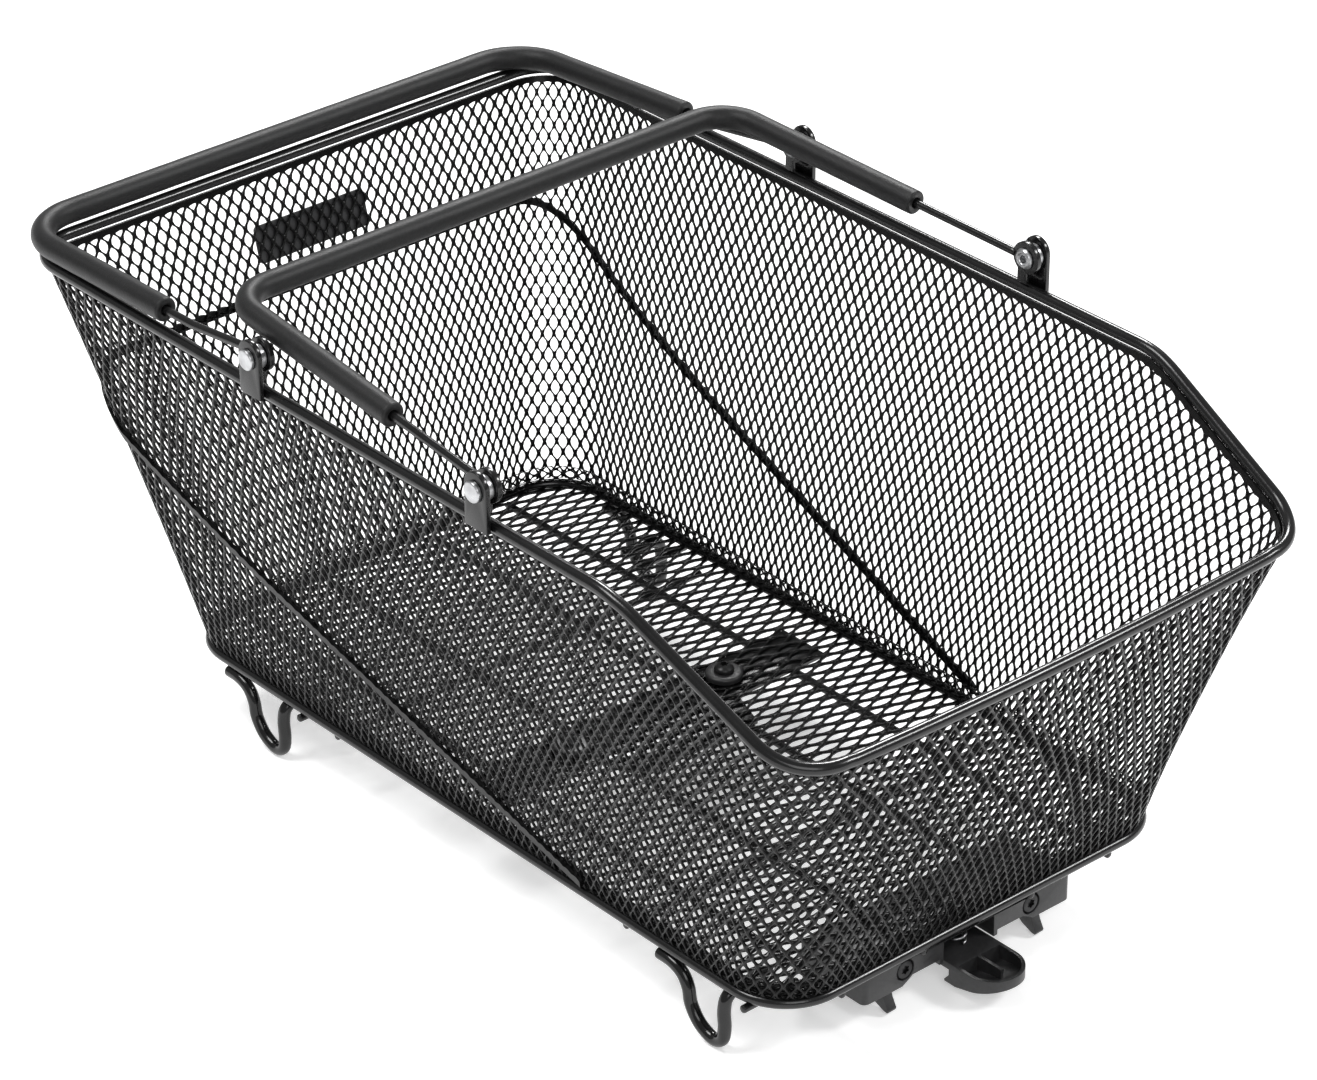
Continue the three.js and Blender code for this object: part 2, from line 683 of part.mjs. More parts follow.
for (const [end, bail] of [["rear", REAR_BAIL], ["front", FRONT_BAIL]]) {
  const x = PIVOT[`${end}X`];
  const rod = openRod(bailPath(x, bail, BAIL.start), BAIL.radius, 0, 8);
  add(`handle_rod_${end}`, geometryOf(joined(rod, eye(x, -1), eye(x, 1))), "rod");
  const grip = openRod(bailPath(x, bail, bail.gripStart), BAIL.gripRadius, BAIL.gripBore, 12);
  add(`grip_${end}`, grip, "foam");
  for (const [side, sign] of screwSpots) {
    add(`handle_bracket_${end}_${side}`, bracket(x, sign), "rod");
    add(`pivot_spacer_${end}_${side}`, spacer(x, sign), "zinc");
    add(`pivot_rivet_${end}_${side}`, rivet(x, sign), "zinc");
  }
}

// ---- rack adapter ----
const level = (below) => RING.z + below;
const outlineOf = (points) => new THREE.Shape(points.map((p) => new THREE.Vector2(...p)));
const across = (radius, x, z, half, sides = 14) =>
  new THREE.CylinderGeometry(radius, radius, 2 * half, sides).translate(x, 0, level(z));

// A cylinder along X between two places.
function lengthwise(radius, x0, x1, y, z, sides = 16) {
  const cylinder = new THREE.CylinderGeometry(radius, radius, x1 - x0, sides);
  return cylinder.rotateZ(QUARTER).translate((x0 + x1) / 2, y, level(z));
}

// The block's front view: deeper at the sides than in the middle, open in the centre for the lever.
function adapterElevation() {
  const { back, front, half, top, side, middle } = ADAPTER;
  const left = [
    [RECESS.half, RECESS.top],
    [RECESS.half, RECESS.lipZ],
    [RECESS.lip, RECESS.lipZ],
    [RECESS.lip, middle],
    [STEP.inner, middle],
    [STEP.outer, side],
    [half, side],
    [half, top],
  ];
  const right = left.map(([y, z]) => [-y, z]).reverse();
  const shape = outlineOf([...right, ...left].map(([y, z]) => [y, level(z)]));
  const block = new THREE.ExtrudeGeometry(shape, { depth: front - back, bevelEnabled: false });
  return block.rotateX(QUARTER).rotateZ(QUARTER).translate(back, 0, 0);
}

// A pointed claw under the front edge, curving down and forwards.
function claw(sign) {
  const { side, front } = ADAPTER;
  const shape = outlineOf([
    [front - 17, side + PAST],
    [front - 14, side - 4.5],
    [front - 9, side - 8.4],
    [front - 3.4, side - 10.6],
    [front - 1.2, side - 10.8],
    [front - 0.6, side - 9.4],
    [front - 3, side - 5],
    [front - 5, side + PAST],
  ]);
  return plateXZ(shape, sign * CLAW.y - CLAW.half, sign * CLAW.y + CLAW.half).translate(0, 0, RING.z);
}

function adapterBody() {
  const { back, front, half, top, side, round } = ADAPTER;
  const plan = roundedPlate(back, front, half, round, level(side) - PAST, level(top) + PAST, 3);
  const block = solid(plan).intersect(solid(adapterElevation()));
  const { half: inner, lipZ, top: roof } = RECESS;
  const rearWall = box(back, RECESS.back, -inner, inner, level(lipZ), level(roof));
  const whole = [rearWall, claw(-1), claw(1)].map(solid).reduce((sum, next) => sum.add(next), block);
  const cuts = [across(LEVER_PIN.radius + GAP, LEVER_PIN.x, LEVER_PIN.z, LEVER_PIN.half + GAP)];
  for (const [, sign] of screwSpots) {
    const y = sign * ADAPTER_SCREW.y;
    const { z, sink, depth, shank, length } = ADAPTER_SCREW;
    cuts.push(lengthwise(sink, front - depth, front + PAST, y, z));
    cuts.push(lengthwise(shank + GAP, front - depth - length - GAP, front, y, z));
  }
  return geometryOf(cuts.map(solid).reduce((rest, tool) => rest.subtract(tool), whole));
}
add("adapter_body", adapterBody(), "plastic");

const plateLow = level(ADAPTER_PLATE.top - ADAPTER_PLATE.thick);
const { back: plateBack, front: plateFront, half: plateHalf } = ADAPTER_PLATE;
const clampPlate = box(plateBack, plateFront, -plateHalf, plateHalf, plateLow, level(ADAPTER_PLATE.top));
add("adapter_top_plate", clampPlate, "plastic");

for (const [side, sign] of screwSpots) {
  const { y, z, head, depth, shank, length } = ADAPTER_SCREW;
  const seat = ADAPTER.front - depth + GAP;
  const screw = lathe([
    [0, -length],
    [shank, -length],
    [shank, 0],
    [head, 0],
    [head, depth * 0.6],
    [head * 0.8, depth * 0.75],
    [0, depth * 0.75],
  ], 16).rotateZ(-QUARTER);
  add(`adapter_screw_${side}`, screw, "blackScrew", [seat, sign * y, level(z)]);
}

// The release lever: a tongue with two pockets, a catch nose below it and a hub round its pin.
function releaseLever() {
  const { half, back, tip, top, plate, wall, nose, noseThick, noseSlope, heel, root, end } = LEVER;
  const plan = new THREE.Shape();
  plan.moveTo(back, -half);
  plan.lineTo(tip - half, -half);
  plan.absarc(tip - half, 0, half, -QUARTER, QUARTER);
  plan.lineTo(back, half);
  const profile = outlineOf([
    [back, top],
    [back, top - plate],
    [wall, top - plate],
    [wall, root + noseThick + noseSlope],
    [nose, root + noseThick],
    [nose, root],
    [wall + heel, root],
    [tip, end],
    [tip, top],
  ]);
  const body = solid(raised(plan, level(root) - PAST, level(top) + PAST, 14));
  const side = solid(plateXZ(profile, -half, half).translate(0, 0, RING.z));
  const hub = solid(across(LEVER_PIN.hub, LEVER_PIN.x, LEVER_PIN.z, half));
  const inner = POCKET.half;
  const pocket = new THREE.Shape();
  pocket.moveTo(POCKET.back, -inner);
  pocket.lineTo(tip - half, -inner);
  pocket.absarc(tip - half, 0, inner, -QUARTER, QUARTER);
  pocket.lineTo(POCKET.back, inner);
  const rib = box(POCKET.back, POCKET.ribEnd, -POCKET.rib, POCKET.rib, level(root), level(top) + PAST);
  const slope = outlineOf([
    [POCKET.back, top - POCKET.depth],
    [POCKET.front, top - POCKET.tipDepth],
    [POCKET.front, top + PAST],
    [POCKET.back, top + PAST],
  ]);
  const sloped = solid(plateXZ(slope, -half, half).translate(0, 0, RING.z));
  const hollow = solid(raised(pocket, level(root), level(top) + PAST, 14)).intersect(sloped);
  const pockets = hollow.subtract(solid(rib));
  const bore = solid(across(LEVER_PIN.radius + GAP, LEVER_PIN.x, LEVER_PIN.z, half + PAST));
  return geometryOf(body.intersect(side).add(hub).subtract(pockets).subtract(bore));
}
add("release_lever", releaseLever(), "plastic");
add("lever_pin", across(LEVER_PIN.radius, LEVER_PIN.x, LEVER_PIN.z, LEVER_PIN.half), "zinc");

// A compression spring between the lever and the roof of its recess.
function leverSpring() {
  const low = level(LEVER.top) + GAP + SPRING.wire;
  const high = level(RECESS.top) - GAP - SPRING.wire;
  const steps = SPRING.turns * 14;
  const points = Array.from({ length: steps + 1 }, (_, i) => {
    const turn = (i / steps) * SPRING.turns * 2 * Math.PI;
    const z = THREE.MathUtils.lerp(low, high, i / steps);
    return new THREE.Vector3(SPRING.x + SPRING.radius * Math.cos(turn), SPRING.radius * Math.sin(turn), z);
  });
  return openRod(points, SPRING.wire, 0, 6);
}
add("lever_spring", leverSpring(), "zinc");

export default basket;
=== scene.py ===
import math
from contextlib import contextmanager

import bmesh
import bpy
import numpy as np
from mathutils import Matrix, Vector


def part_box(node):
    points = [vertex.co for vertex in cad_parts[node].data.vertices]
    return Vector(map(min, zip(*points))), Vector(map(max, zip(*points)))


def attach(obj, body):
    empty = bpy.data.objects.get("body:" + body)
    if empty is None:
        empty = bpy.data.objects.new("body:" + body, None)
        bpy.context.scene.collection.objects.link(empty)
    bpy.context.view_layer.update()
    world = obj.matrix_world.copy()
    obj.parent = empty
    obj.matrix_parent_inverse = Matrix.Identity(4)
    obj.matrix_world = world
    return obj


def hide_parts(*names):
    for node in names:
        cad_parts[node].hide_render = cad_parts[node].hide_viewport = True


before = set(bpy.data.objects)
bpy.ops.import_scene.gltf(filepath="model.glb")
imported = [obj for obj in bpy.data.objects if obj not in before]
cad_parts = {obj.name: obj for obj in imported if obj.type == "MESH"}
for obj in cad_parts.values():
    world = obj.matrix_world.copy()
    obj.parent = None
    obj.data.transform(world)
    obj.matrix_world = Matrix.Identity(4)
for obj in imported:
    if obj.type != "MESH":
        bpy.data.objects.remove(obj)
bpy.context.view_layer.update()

# ---- driving dimensions, in metres ----
MM = 0.001
GAP = 0.3 * MM
MERGE, SNAP = 1e-7, 2e-7  # how close two points of a solid, or of a net, are to be one point
EMPTY = 1e-11  # square metres: a triangle of a net with less than half of this is left out

RING_Z = 34 * MM
RING_RADIUS = 2.5 * MM
RING_REAR, RING_FRONT = -195 * MM, 207 * MM
RING_HALF, RING_CORNER = 112 * MM, 27.5 * MM

RIM_RADIUS = 2.75 * MM
RIM_REAR, RIM_FRONT = -245 * MM, 250.2 * MM
RIM_HALF, RIM_FRONT_HALF, RIM_CORNER = 151 * MM, 142.5 * MM, 24 * MM
RIM_RISE, FRONT_RISE = 189 * MM, 146 * MM
RAMP_TOP, RAMP_FOOT, RAMP_BLEND = 152 * MM, 245 * MM, 12 * MM
FRONT_BOW = 3 * MM

SEAM_REAR_RISE, SEAM_FALL, SEAM_ZERO_X = 131 * MM, 0.335, 104 * MM
SEAM_CURVE_X, SEAM_CURVE = -90 * MM, 0.7
SEAM_TIP_X, SEAM_END_X = 86 * MM, 96 * MM
SEAM_HALF, SEAM_INNER, SEAM_OUTER = 1.7 * MM, 0.6 * MM, 2.2 * MM
SEAM_TOOTH = 0.8 * MM
SEAM_PASSES = 12

WALL_FOOT = RING_RADIUS + GAP
FRONT_DRAW, REAR_DRAW = 3.4 * MM, 1.6 * MM  # how far the corners of the wall draw in, halfway up
HEM_TALL, HEM_INNER, HEM_OUTER = 3.4 * MM, -1.7 * MM, -0.5 * MM
HEM_SCALLOP = 0.7 * MM
TOOTH_STEPS = 6  # points along each tooth of the hem and the seam
UPTURN_LOW, UPTURN_HIGH, UPTURN_INSET = WALL_FOOT - 1.5 * MM, 8.6 * MM, 2.3 * MM

BADGE_HALF, BADGE_TALL, BADGE_CORNER, BADGE_THICK = 31.5 * MM, 9 * MM, 2.2 * MM, 1 * MM
WIRE_RADIUS = 1.8 * MM

PIVOT_Z = 239 * MM
PIVOT_X = {"rear": -73 * MM, "front": 75 * MM}
EYE_Y, EYE_THICK = 149.25 * MM, 2.5 * MM
BAIL_RADIUS, GRIP_RADIUS, GRIP_BORE = 1.9 * MM, 5.5 * MM, 2.5 * MM
BAILS = {
    "rear": {"x": -248.4 * MM, "z": 231.6 * MM, "half": 142.6 * MM, "skew": -8 * MM, "bend": 26.6 * MM,
             "grip": 67 * MM, "knee": (-120 * MM, 233.8 * MM)},
    "front": {"x": -107.2 * MM, "z": 248.2 * MM, "half": 138.8 * MM, "skew": 0, "bend": 19 * MM,
              "grip": 65 * MM},
}
KNEE_BEND = 60 * MM
BAIL_START = 6.2 * MM  # how far behind the pivots the bent rod begins
GRIP_LIP, GRIP_MOUTH = 1.1 * MM, 9 * MM
PIVOT_BORE = 3 * MM
BRACKET_HALF, BRACKET_ARCH, BRACKET_BELOW = 6.9 * MM, 1.3 * MM, 17.4 * MM
BRACKET_THICK = 2.5 * MM
BRACKET_Y = RIM_HALF + RIM_RADIUS + GAP

AXIS = 0.01 * MM  # the radius that stands for zero in a turned profile
SIDES = {"right": -1, "left": 1}
ENDS = ("rear", "front")


# ---- meshes ----
@contextmanager
def edited(mesh):
    """Opens a mesh for bmesh operations, and writes the result back to it."""
    work = bmesh.new()
    work.from_mesh(mesh)
    yield work
    work.to_mesh(mesh)
    work.free()


def mesh_object(name, vertices, faces, smooth=True):
    mesh = bpy.data.meshes.new(name)
    mesh.from_pydata([tuple(v) for v in vertices], [], [tuple(f) for f in faces])
    return finished(name, mesh, smooth)


def finished(name, mesh, smooth=True):
    mesh.validate()
    mesh.polygons.foreach_set("use_smooth", [smooth] * len(mesh.polygons))
    mesh.update()
    return linked(name, mesh)


def linked(name, data):
    """A new object in the scene for a mesh, curve, camera or light."""
    thing = bpy.data.objects.new(name, data)
    bpy.context.scene.collection.objects.link(thing)
    return thing


def triangle_object(name, vertices, triangles):
    """A mesh from arrays, with shared points merged and empty triangles left out."""
    keys = np.round(vertices / SNAP).astype(np.int64)
    _, first, index = np.unique(keys, axis=0, return_index=True, return_inverse=True)
    points = vertices[first]
    corners = index.reshape(-1)[triangles]
    a, b, c = (points[corners[:, k]] for k in range(3))
    area = np.linalg.norm(np.cross(b - a, c - a), axis=1)
    corners = corners[area > EMPTY]
    mesh = bpy.data.meshes.new(name)
    mesh.vertices.add(len(points))
    mesh.vertices.foreach_set("co", points.astype(np.float32).ravel())
    mesh.loops.add(3 * len(corners))
    mesh.loops.foreach_set("vertex_index", corners.astype(np.int32).ravel())
    mesh.polygons.add(len(corners))
    mesh.polygons.foreach_set("loop_start", np.arange(0, 3 * len(corners), 3, dtype=np.int32))
    return finished(name, mesh)


def evaluated(piece):
    """Applies a piece's modifiers to its mesh."""
    depsgraph = bpy.context.evaluated_depsgraph_get()
    mesh = bpy.data.meshes.new_from_object(piece.evaluated_get(depsgraph))
    piece.modifiers.clear()
    piece.data = mesh
    return piece


def merged(name, pieces):
    """Joins several meshes into one named object."""
    mesh = bpy.data.meshes.new(name)
    with edited(mesh) as whole:
        for piece in pieces:
            whole.from_mesh(piece.data)
            bpy.data.objects.remove(piece)
    return linked(name, mesh)


def sharpened(piece, angle=35):
    """Shades a piece smooth, apart from edges sharper than the angle in degrees."""
    with edited(piece.data) as work:
        for edge in work.edges:
            wide = len(edge.link_faces) == 2 and edge.calc_face_angle(0) > math.radians(angle)
            edge.smooth = not wide
        for face in work.faces:
            face.smooth = True
    return piece


def refined(name, node, bevel):
    """A copy of a CAD node with its edges rounded over, which stands for that node."""
    work = bmesh.new()
    work.from_mesh(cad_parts[node].data)
    bmesh.ops.remove_doubles(work, verts=work.verts, dist=1e-6)
    bmesh.ops.dissolve_limit(work, angle_limit=math.radians(1), verts=work.verts, edges=work.edges)
    mesh = bpy.data.meshes.new(name)
    work.to_mesh(mesh)
    work.free()
    piece = finished(name, mesh)
    rounding = piece.modifiers.new("rounding", "BEVEL")
    rounding.width = bevel
    rounding.segments = 3
    rounding.limit_method = "ANGLE"
    rounding.angle_limit = math.radians(32)
    rounding.use_clamp_overlap = True
    evaluated(piece)
    return sharpened(piece, 50)


def carved(piece, cutter):
    """Cuts one closed mesh out of another."""
    cut = piece.modifiers.new("cut", "BOOLEAN")
    cut.operation = "DIFFERENCE"
    cut.solver = "EXACT"
    cut.object = cutter
    evaluated(piece)
    bpy.data.objects.remove(cutter)
    return piece


# ---- paths and sweeps ----
FILLET_STEPS, CURVE_STEPS, LOOP_SIDES = 24, 12, 24


def filleted(corners, radii):
    """A polyline with its inner corners rounded by arcs, each of its own radius."""
    points = [corners[0]]
    for before, corner, after, radius in zip(corners, corners[1:], corners[2:], radii):
        back = (before - corner).normalized()
        onward = (after - corner).normalized()
        half = back.angle(onward) / 2
        centre = corner + (back + onward).normalized() * (radius / math.sin(half))
        start = corner + back * (radius / math.tan(half)) - centre
        end = corner + onward * (radius / math.tan(half)) - centre
        axis = start.cross(end).normalized()
        for k in range(FILLET_STEPS + 1):
            turn = Matrix.Rotation(start.angle(end) * k / FILLET_STEPS, 3, axis)
            points.append(turn @ start + centre)
    points.append(corners[-1])
    return points


def smooth_path(points):
    """A Catmull-Rom curve through the points."""
    padded = [2 * points[0] - points[1], *points, 2 * points[-1] - points[-2]]
    curve = []
    for a, b, c, d in zip(padded, padded[1:], padded[2:], padded[3:]):
        for k in range(CURVE_STEPS):
            t = k / CURVE_STEPS
            cubic = (3 * b - a - 3 * c + d) * t**3
            curve.append(0.5 * (2 * b + (c - a) * t + (2 * a - 5 * b + 4 * c - d) * t**2 + cubic))
    curve.append(points[-1])
    return curve


class Line:
    """A polyline that is read by the distance along it."""

    def __init__(self, points):
        self.points = np.array([tuple(p) for p in points])
        steps = np.linalg.norm(np.diff(self.points, axis=0), axis=1)
        self.at = np.concatenate([[0], np.cumsum(steps)])
        self.length = self.at[-1]

    def __call__(self, distance):
        return np.array([np.interp(distance, self.at, self.points[:, k]) for k in range(3)])

    def part(self, start, end, step):
        """Distances between two places, no further apart than a step."""
        return list(np.linspace(start, end, max(2, int(math.ceil((end - start) / step)) + 1)))


def tube_faces(rows, sides, closed=False):
    """The faces between rings of points that follow each other."""
    faces = []
    for i in range(rows if closed else rows - 1):
        here, onward = i * sides, ((i + 1) % rows) * sides
        for j in range(sides):
            k = (j + 1) % sides
            faces.append((here + j, here + k, onward + k, onward + j))
    return faces


def end_faces(rows, sides):
    """The faces that close the first and the last ring."""
    last = (rows - 1) * sides
    return [tuple(reversed(range(sides))), tuple(range(last, last + sides))]


def swept(name, line, stations, sides=20):
    """A skin of round sections: each station is a distance along the line and a radius."""
    reach = 0.2 * MM
    centres = np.array([line(d) for d, _ in stations])
    tangents = np.array([line(d + reach) - line(d - reach) for d, _ in stations])
    tangents /= np.linalg.norm(tangents, axis=1)[:, None]
    side = np.cross(tangents[0], [0, 0, 1.0])
    if np.linalg.norm(side) < 0.1:
        side = np.cross(tangents[0], [1.0, 0, 0])
    angles = np.arange(sides) * 2 * math.pi / sides
    vertices = []
    for centre, tangent, (_, radius) in zip(centres, tangents, stations):
        side = side - tangent * np.dot(side, tangent)
        side /= np.linalg.norm(side)
        up = np.cross(tangent, side)
        ring = np.outer(np.cos(angles), side) + np.outer(np.sin(angles), up)
        vertices.extend(centre + radius * ring)
    rows = len(stations)
    return mesh_object(name, vertices, tube_faces(rows, sides) + end_faces(rows, sides))


def domed(line, radius, step):
    """Stations of a rod with softly rounded ends."""
    rise = radius / 2
    start = [(rise * (1 - math.cos(a)), radius * math.sin(a)) for a in np.linspace(0.15, math.pi / 2, 5)]
    middle = [(d, radius) for d in line.part(rise, line.length - rise, step)]
    end = [(line.length - d, r) for d, r in reversed(start)]
    return start + middle[1:-1] + end


def rod(name, points, radius, sides=20, step=2 * MM):
    line = Line(points)
    return swept(name, line, domed(line, radius, step), sides)


def loop_rod(name, points, radius):
    """A closed rod along a level or nearly level loop."""
    points = np.array([tuple(p) for p in points])
    tangents = np.roll(points, -1, axis=0) - np.roll(points, 1, axis=0)
    tangents /= np.linalg.norm(tangents, axis=1)[:, None]
    out = np.cross(tangents, [0, 0, 1.0])
    out /= np.linalg.norm(out, axis=1)[:, None]
    up = np.cross(out, tangents)
    angles = np.arange(LOOP_SIDES) * 2 * math.pi / LOOP_SIDES
    vertices = []
    for point, o, u in zip(points, out, up):
        vertices.extend(point + radius * (np.outer(np.cos(angles), o) + np.outer(np.sin(angles), u)))
    return mesh_object(name, vertices, tube_faces(len(points), LOOP_SIDES, closed=True))


def lathed(name, profile, place, sides=48):
    """A closed turned body. profile is (radius, height) pairs, and place a matrix from +Z."""
    vertices = []
    for radius, height in profile:
        for k in range(sides):
            angle = 2 * math.pi * k / sides
            vertices.append(place @ Vector((radius * math.cos(angle), radius * math.sin(angle), height)))
    rows = len(profile)
    faces = tube_faces(rows, sides)
    if profile[0] != profile[-1]:
        faces += end_faces(rows, sides)
    piece = mesh_object(name, vertices, faces)
    with edited(piece.data) as work:
        bmesh.ops.remove_doubles(work, verts=work.verts, dist=MERGE)
        bmesh.ops.recalc_face_normals(work, faces=work.faces)
    return sharpened(piece)


def arc(radius, start, end, steps, centre=(0, 0)):
    """Points of an arc, with angles in degrees."""
    angles = np.radians(np.linspace(start, end, steps + 1))
    return [(centre[0] + radius * math.cos(a), centre[1] + radius * math.sin(a)) for a in angles]


def plate(name, outlines, thick, place, bevel):
    """A flat plate with rounded edges. The first outline is its edge and the others are holes."""
    curve = bpy.data.curves.new(name, "CURVE")
    curve.dimensions = "2D"
    curve.fill_mode = "BOTH"
    curve.extrude = thick / 2 - bevel
    curve.bevel_depth = bevel
    curve.bevel_resolution = 2
    curve.offset = -bevel
    for outline in outlines:
        spline = curve.splines.new("POLY")
        spline.points.add(len(outline) - 1)
        for point, (x, y) in zip(spline.points, outline):
            point.co = (x, y, 0, 1)
        spline.use_cyclic_u = True
    source = linked(name, curve)
    mesh = bpy.data.meshes.new_from_object(source.evaluated_get(bpy.context.evaluated_depsgraph_get()))
    bpy.data.objects.remove(source)
    mesh.transform(place)
    with edited(mesh) as work:
        bmesh.ops.remove_doubles(work, verts=work.verts, dist=MERGE)
    return sharpened(finished(name, mesh), 40)


# ---- the basket's outline ----
SIDE_STEPS, CORNER_STEPS, END_STEPS = 220, 30, 60


def rim_rise(x):
    """The rim's height above the ring: level, down a ramp with blended ends, and level at the front."""
    slope = (FRONT_RISE - RIM_RISE) / (RAMP_FOOT - RAMP_TOP)

    def ramped(start):
        past = x - start
        if past <= -RAMP_BLEND:
            return 0
        if past >= RAMP_BLEND:
            return past
        return (past + RAMP_BLEND) ** 2 / (4 * RAMP_BLEND)

    return RIM_RISE + slope * (ramped(RAMP_TOP) - ramped(RAMP_FOOT))


def rim_half(x):
    """Half the rim's width, which narrows from the top of the ramp to the front."""
    along = max(0, (x - RAMP_TOP) / (RIM_FRONT - RAMP_TOP))
    return RIM_HALF + (RIM_FRONT_HALF - RIM_HALF) * along


def station(ring_x, ring_y, rim_x, rim_y, rise, angle):
    """One place round the basket: its points on the ring and rim, and the way out in plan."""
    return (ring_x, ring_y, rim_x, rim_y, rise, math.cos(angle), math.sin(angle))


def side_stations(side):
    places = []
    for along in np.linspace(0, 1, SIDE_STEPS + 1)[1:-1]:
        ring_x = RING_REAR + RING_CORNER + along * (RING_FRONT - RING_REAR - 2 * RING_CORNER)
        rim_x = RIM_REAR + RIM_CORNER + along * (RIM_FRONT - RIM_REAR - 2 * RIM_CORNER)
        half = side * rim_half(rim_x)
        places.append(station(ring_x, side * RING_HALF, rim_x, half, rim_rise(rim_x), side * math.pi / 2))
    return places


def corner_stations(end, side, start, finish):
    front = end == "front"
    ring_x = RING_FRONT - RING_CORNER if front else RING_REAR + RING_CORNER
    rim_x = RIM_FRONT - RIM_CORNER if front else RIM_REAR + RIM_CORNER
    places = []
    for angle in np.linspace(start, finish, CORNER_STEPS + 1):
        c, s = math.cos(angle), math.sin(angle)
        x = rim_x + RIM_CORNER * c
        taper = (rim_half(x) - rim_half(rim_x)) * side if front else 0
        rim_y = side * (rim_half(rim_x) - RIM_CORNER) + RIM_CORNER * s + taper
        ring_y = side * (RING_HALF - RING_CORNER) + RING_CORNER * s
        places.append(station(ring_x + RING_CORNER * c, ring_y, x, rim_y, rim_rise(x), angle))
    return places


def end_stations(end):
    """The straight stretch across the front or the rear, with the front rim bowed forwards."""
    ring_end = RING_HALF - RING_CORNER
    across = np.linspace(-1, 1, END_STEPS + 1)[1:-1]
    if end == "rear":
        rim_end = RIM_HALF - RIM_CORNER
        return [station(RING_REAR, ring_end * a, RIM_REAR, rim_end * a, RIM_RISE, math.pi) for a in -across]
    rim_end = rim_half(RIM_FRONT) - RIM_CORNER
    bowed = RIM_FRONT + FRONT_BOW * (1 - across * across)
    return [station(RING_FRONT, ring_end * a, x, rim_end * a, FRONT_RISE, 0) for a, x in zip(across, bowed)]


QUARTER = math.pi / 2
OUTLINE = np.array([
    *corner_stations("rear", -1, -2 * QUARTER, -QUARTER),
    *side_stations(-1),
    *corner_stations("front", -1, -QUARTER, 0),
    *end_stations("front"),
    *corner_stations("front", 1, 0, QUARTER),
    *reversed(side_stations(1)),
    *corner_stations("rear", 1, QUARTER, 2 * QUARTER),
    *end_stations("rear"),
])
halfway = (OUTLINE[:, 0:2] + OUTLINE[:, 2:4]) / 2
spans = np.linalg.norm(np.roll(halfway, -1, axis=0) - halfway, axis=1)
AROUND = spans.sum()
ROUND_AT = np.concatenate([[0], np.cumsum(spans)])
CLOSED = np.vstack([OUTLINE, OUTLINE[:1]])


def at_round(u):
    """The outline's values at distances round the basket, halfway up the wall."""
    u = np.mod(u, AROUND)
    return np.array([np.interp(u, ROUND_AT, values) for values in CLOSED.T])


def on_wall(u, rise, offset):
    """Points of the wall: distance round, height above the ring's centre, distance outwards.

    The corners draw in, most of all halfway up.
    """
    ring_x, ring_y, rim_x, rim_y, top, cos, sin = at_round(u)
    along = rise / top
    lean = (rim_x - ring_x) * cos + (rim_y - ring_y) * sin
    normal = np.array([cos * top, sin * top, -lean])
    normal /= np.linalg.norm(normal, axis=0)
    draw = np.abs(2 * cos * sin) * np.where(cos > 0, FRONT_DRAW, REAR_DRAW)
    offset = offset - draw * 4 * along * (1 - along)
    x = ring_x + (rim_x - ring_x) * along + normal[0] * offset
    y = ring_y + (rim_y - ring_y) * along + normal[1] * offset
    return np.stack([x, y, RING_Z + rise + normal[2] * offset], axis=-1)


def wall_top(u):
    return at_round(u)[4] - RIM_RADIUS - 2 * GAP


def side_seam_rise(ring_x, rim_x):
    """The seam's height on a long side: it falls forwards, a little faster near the rear."""
    slant = (rim_x - ring_x) / RIM_RISE
    rise = np.zeros(np.shape(ring_x))
    for _ in range(SEAM_PASSES):
        x = ring_x + slant * rise
        rise = SEAM_FALL * (SEAM_ZERO_X - x) + SEAM_CURVE * np.maximum(0, SEAM_CURVE_X - x) ** 2
    return rise


def seam_rise(u):
    """The seam's height: level across the rear, and falling from there round each rear corner."""
    ring_x, _, rim_x, _, _, cos, _ = at_round(u)
    start = side_seam_rise(RING_REAR + RING_CORNER, RIM_REAR + RIM_CORNER)
    corner = start + (SEAM_REAR_RISE - start) * -cos
    return np.where(cos < -1e-6, corner, side_seam_rise(ring_x, rim_x))


# ---- expanded metal ----
CELL_POINTS = 12
WALL_PITCH = (AROUND / round(AROUND / (5.7 * MM)), 9.9 * MM)
WALL_HOLE = {"half": (2.08 * MM, 3.5 * MM), "tilt": 0.05 * MM, "thick": 0.95 * MM}
FLOOR_PITCH = (17 * MM, 7.7 * MM)
FLOOR_HOLE = {"half": (6.3 * MM, 2.65 * MM), "tilt": 0.3 * MM, "thick": 0.9 * MM}
UPTURN_PITCH = (AROUND / round(AROUND / (7.2 * MM)), 3.9 * MM)
UPTURN_HOLE = {"half": (2.5 * MM, 1.3 * MM), "tilt": 0.5 * MM, "thick": 0.9 * MM}


def cell_outline(pitch):
    """A rhombus, with the same number of points as a hole."""
    corners = np.array([(pitch[0] / 2, 0), (0, pitch[1] / 2), (-pitch[0] / 2, 0), (0, -pitch[1] / 2)])
    onward = np.roll(corners, -1, axis=0)
    steps = CELL_POINTS // 4
    return np.vstack([a + (b - a) * k / steps for a, b in zip(corners, onward) for k in range(steps)])


def hole_outline(half):
    """A leaf: two shallow arcs that meet at the ends of its longer way."""
    angles = np.arange(CELL_POINTS) * 2 * math.pi / CELL_POINTS
    c, s = np.cos(angles), np.sin(angles)
    if half[0] > half[1]:
        return np.stack([half[0] * c, half[1] * s * np.abs(s)], axis=-1)
    return np.stack([half[0] * c * np.abs(c), half[1] * s], axis=-1)


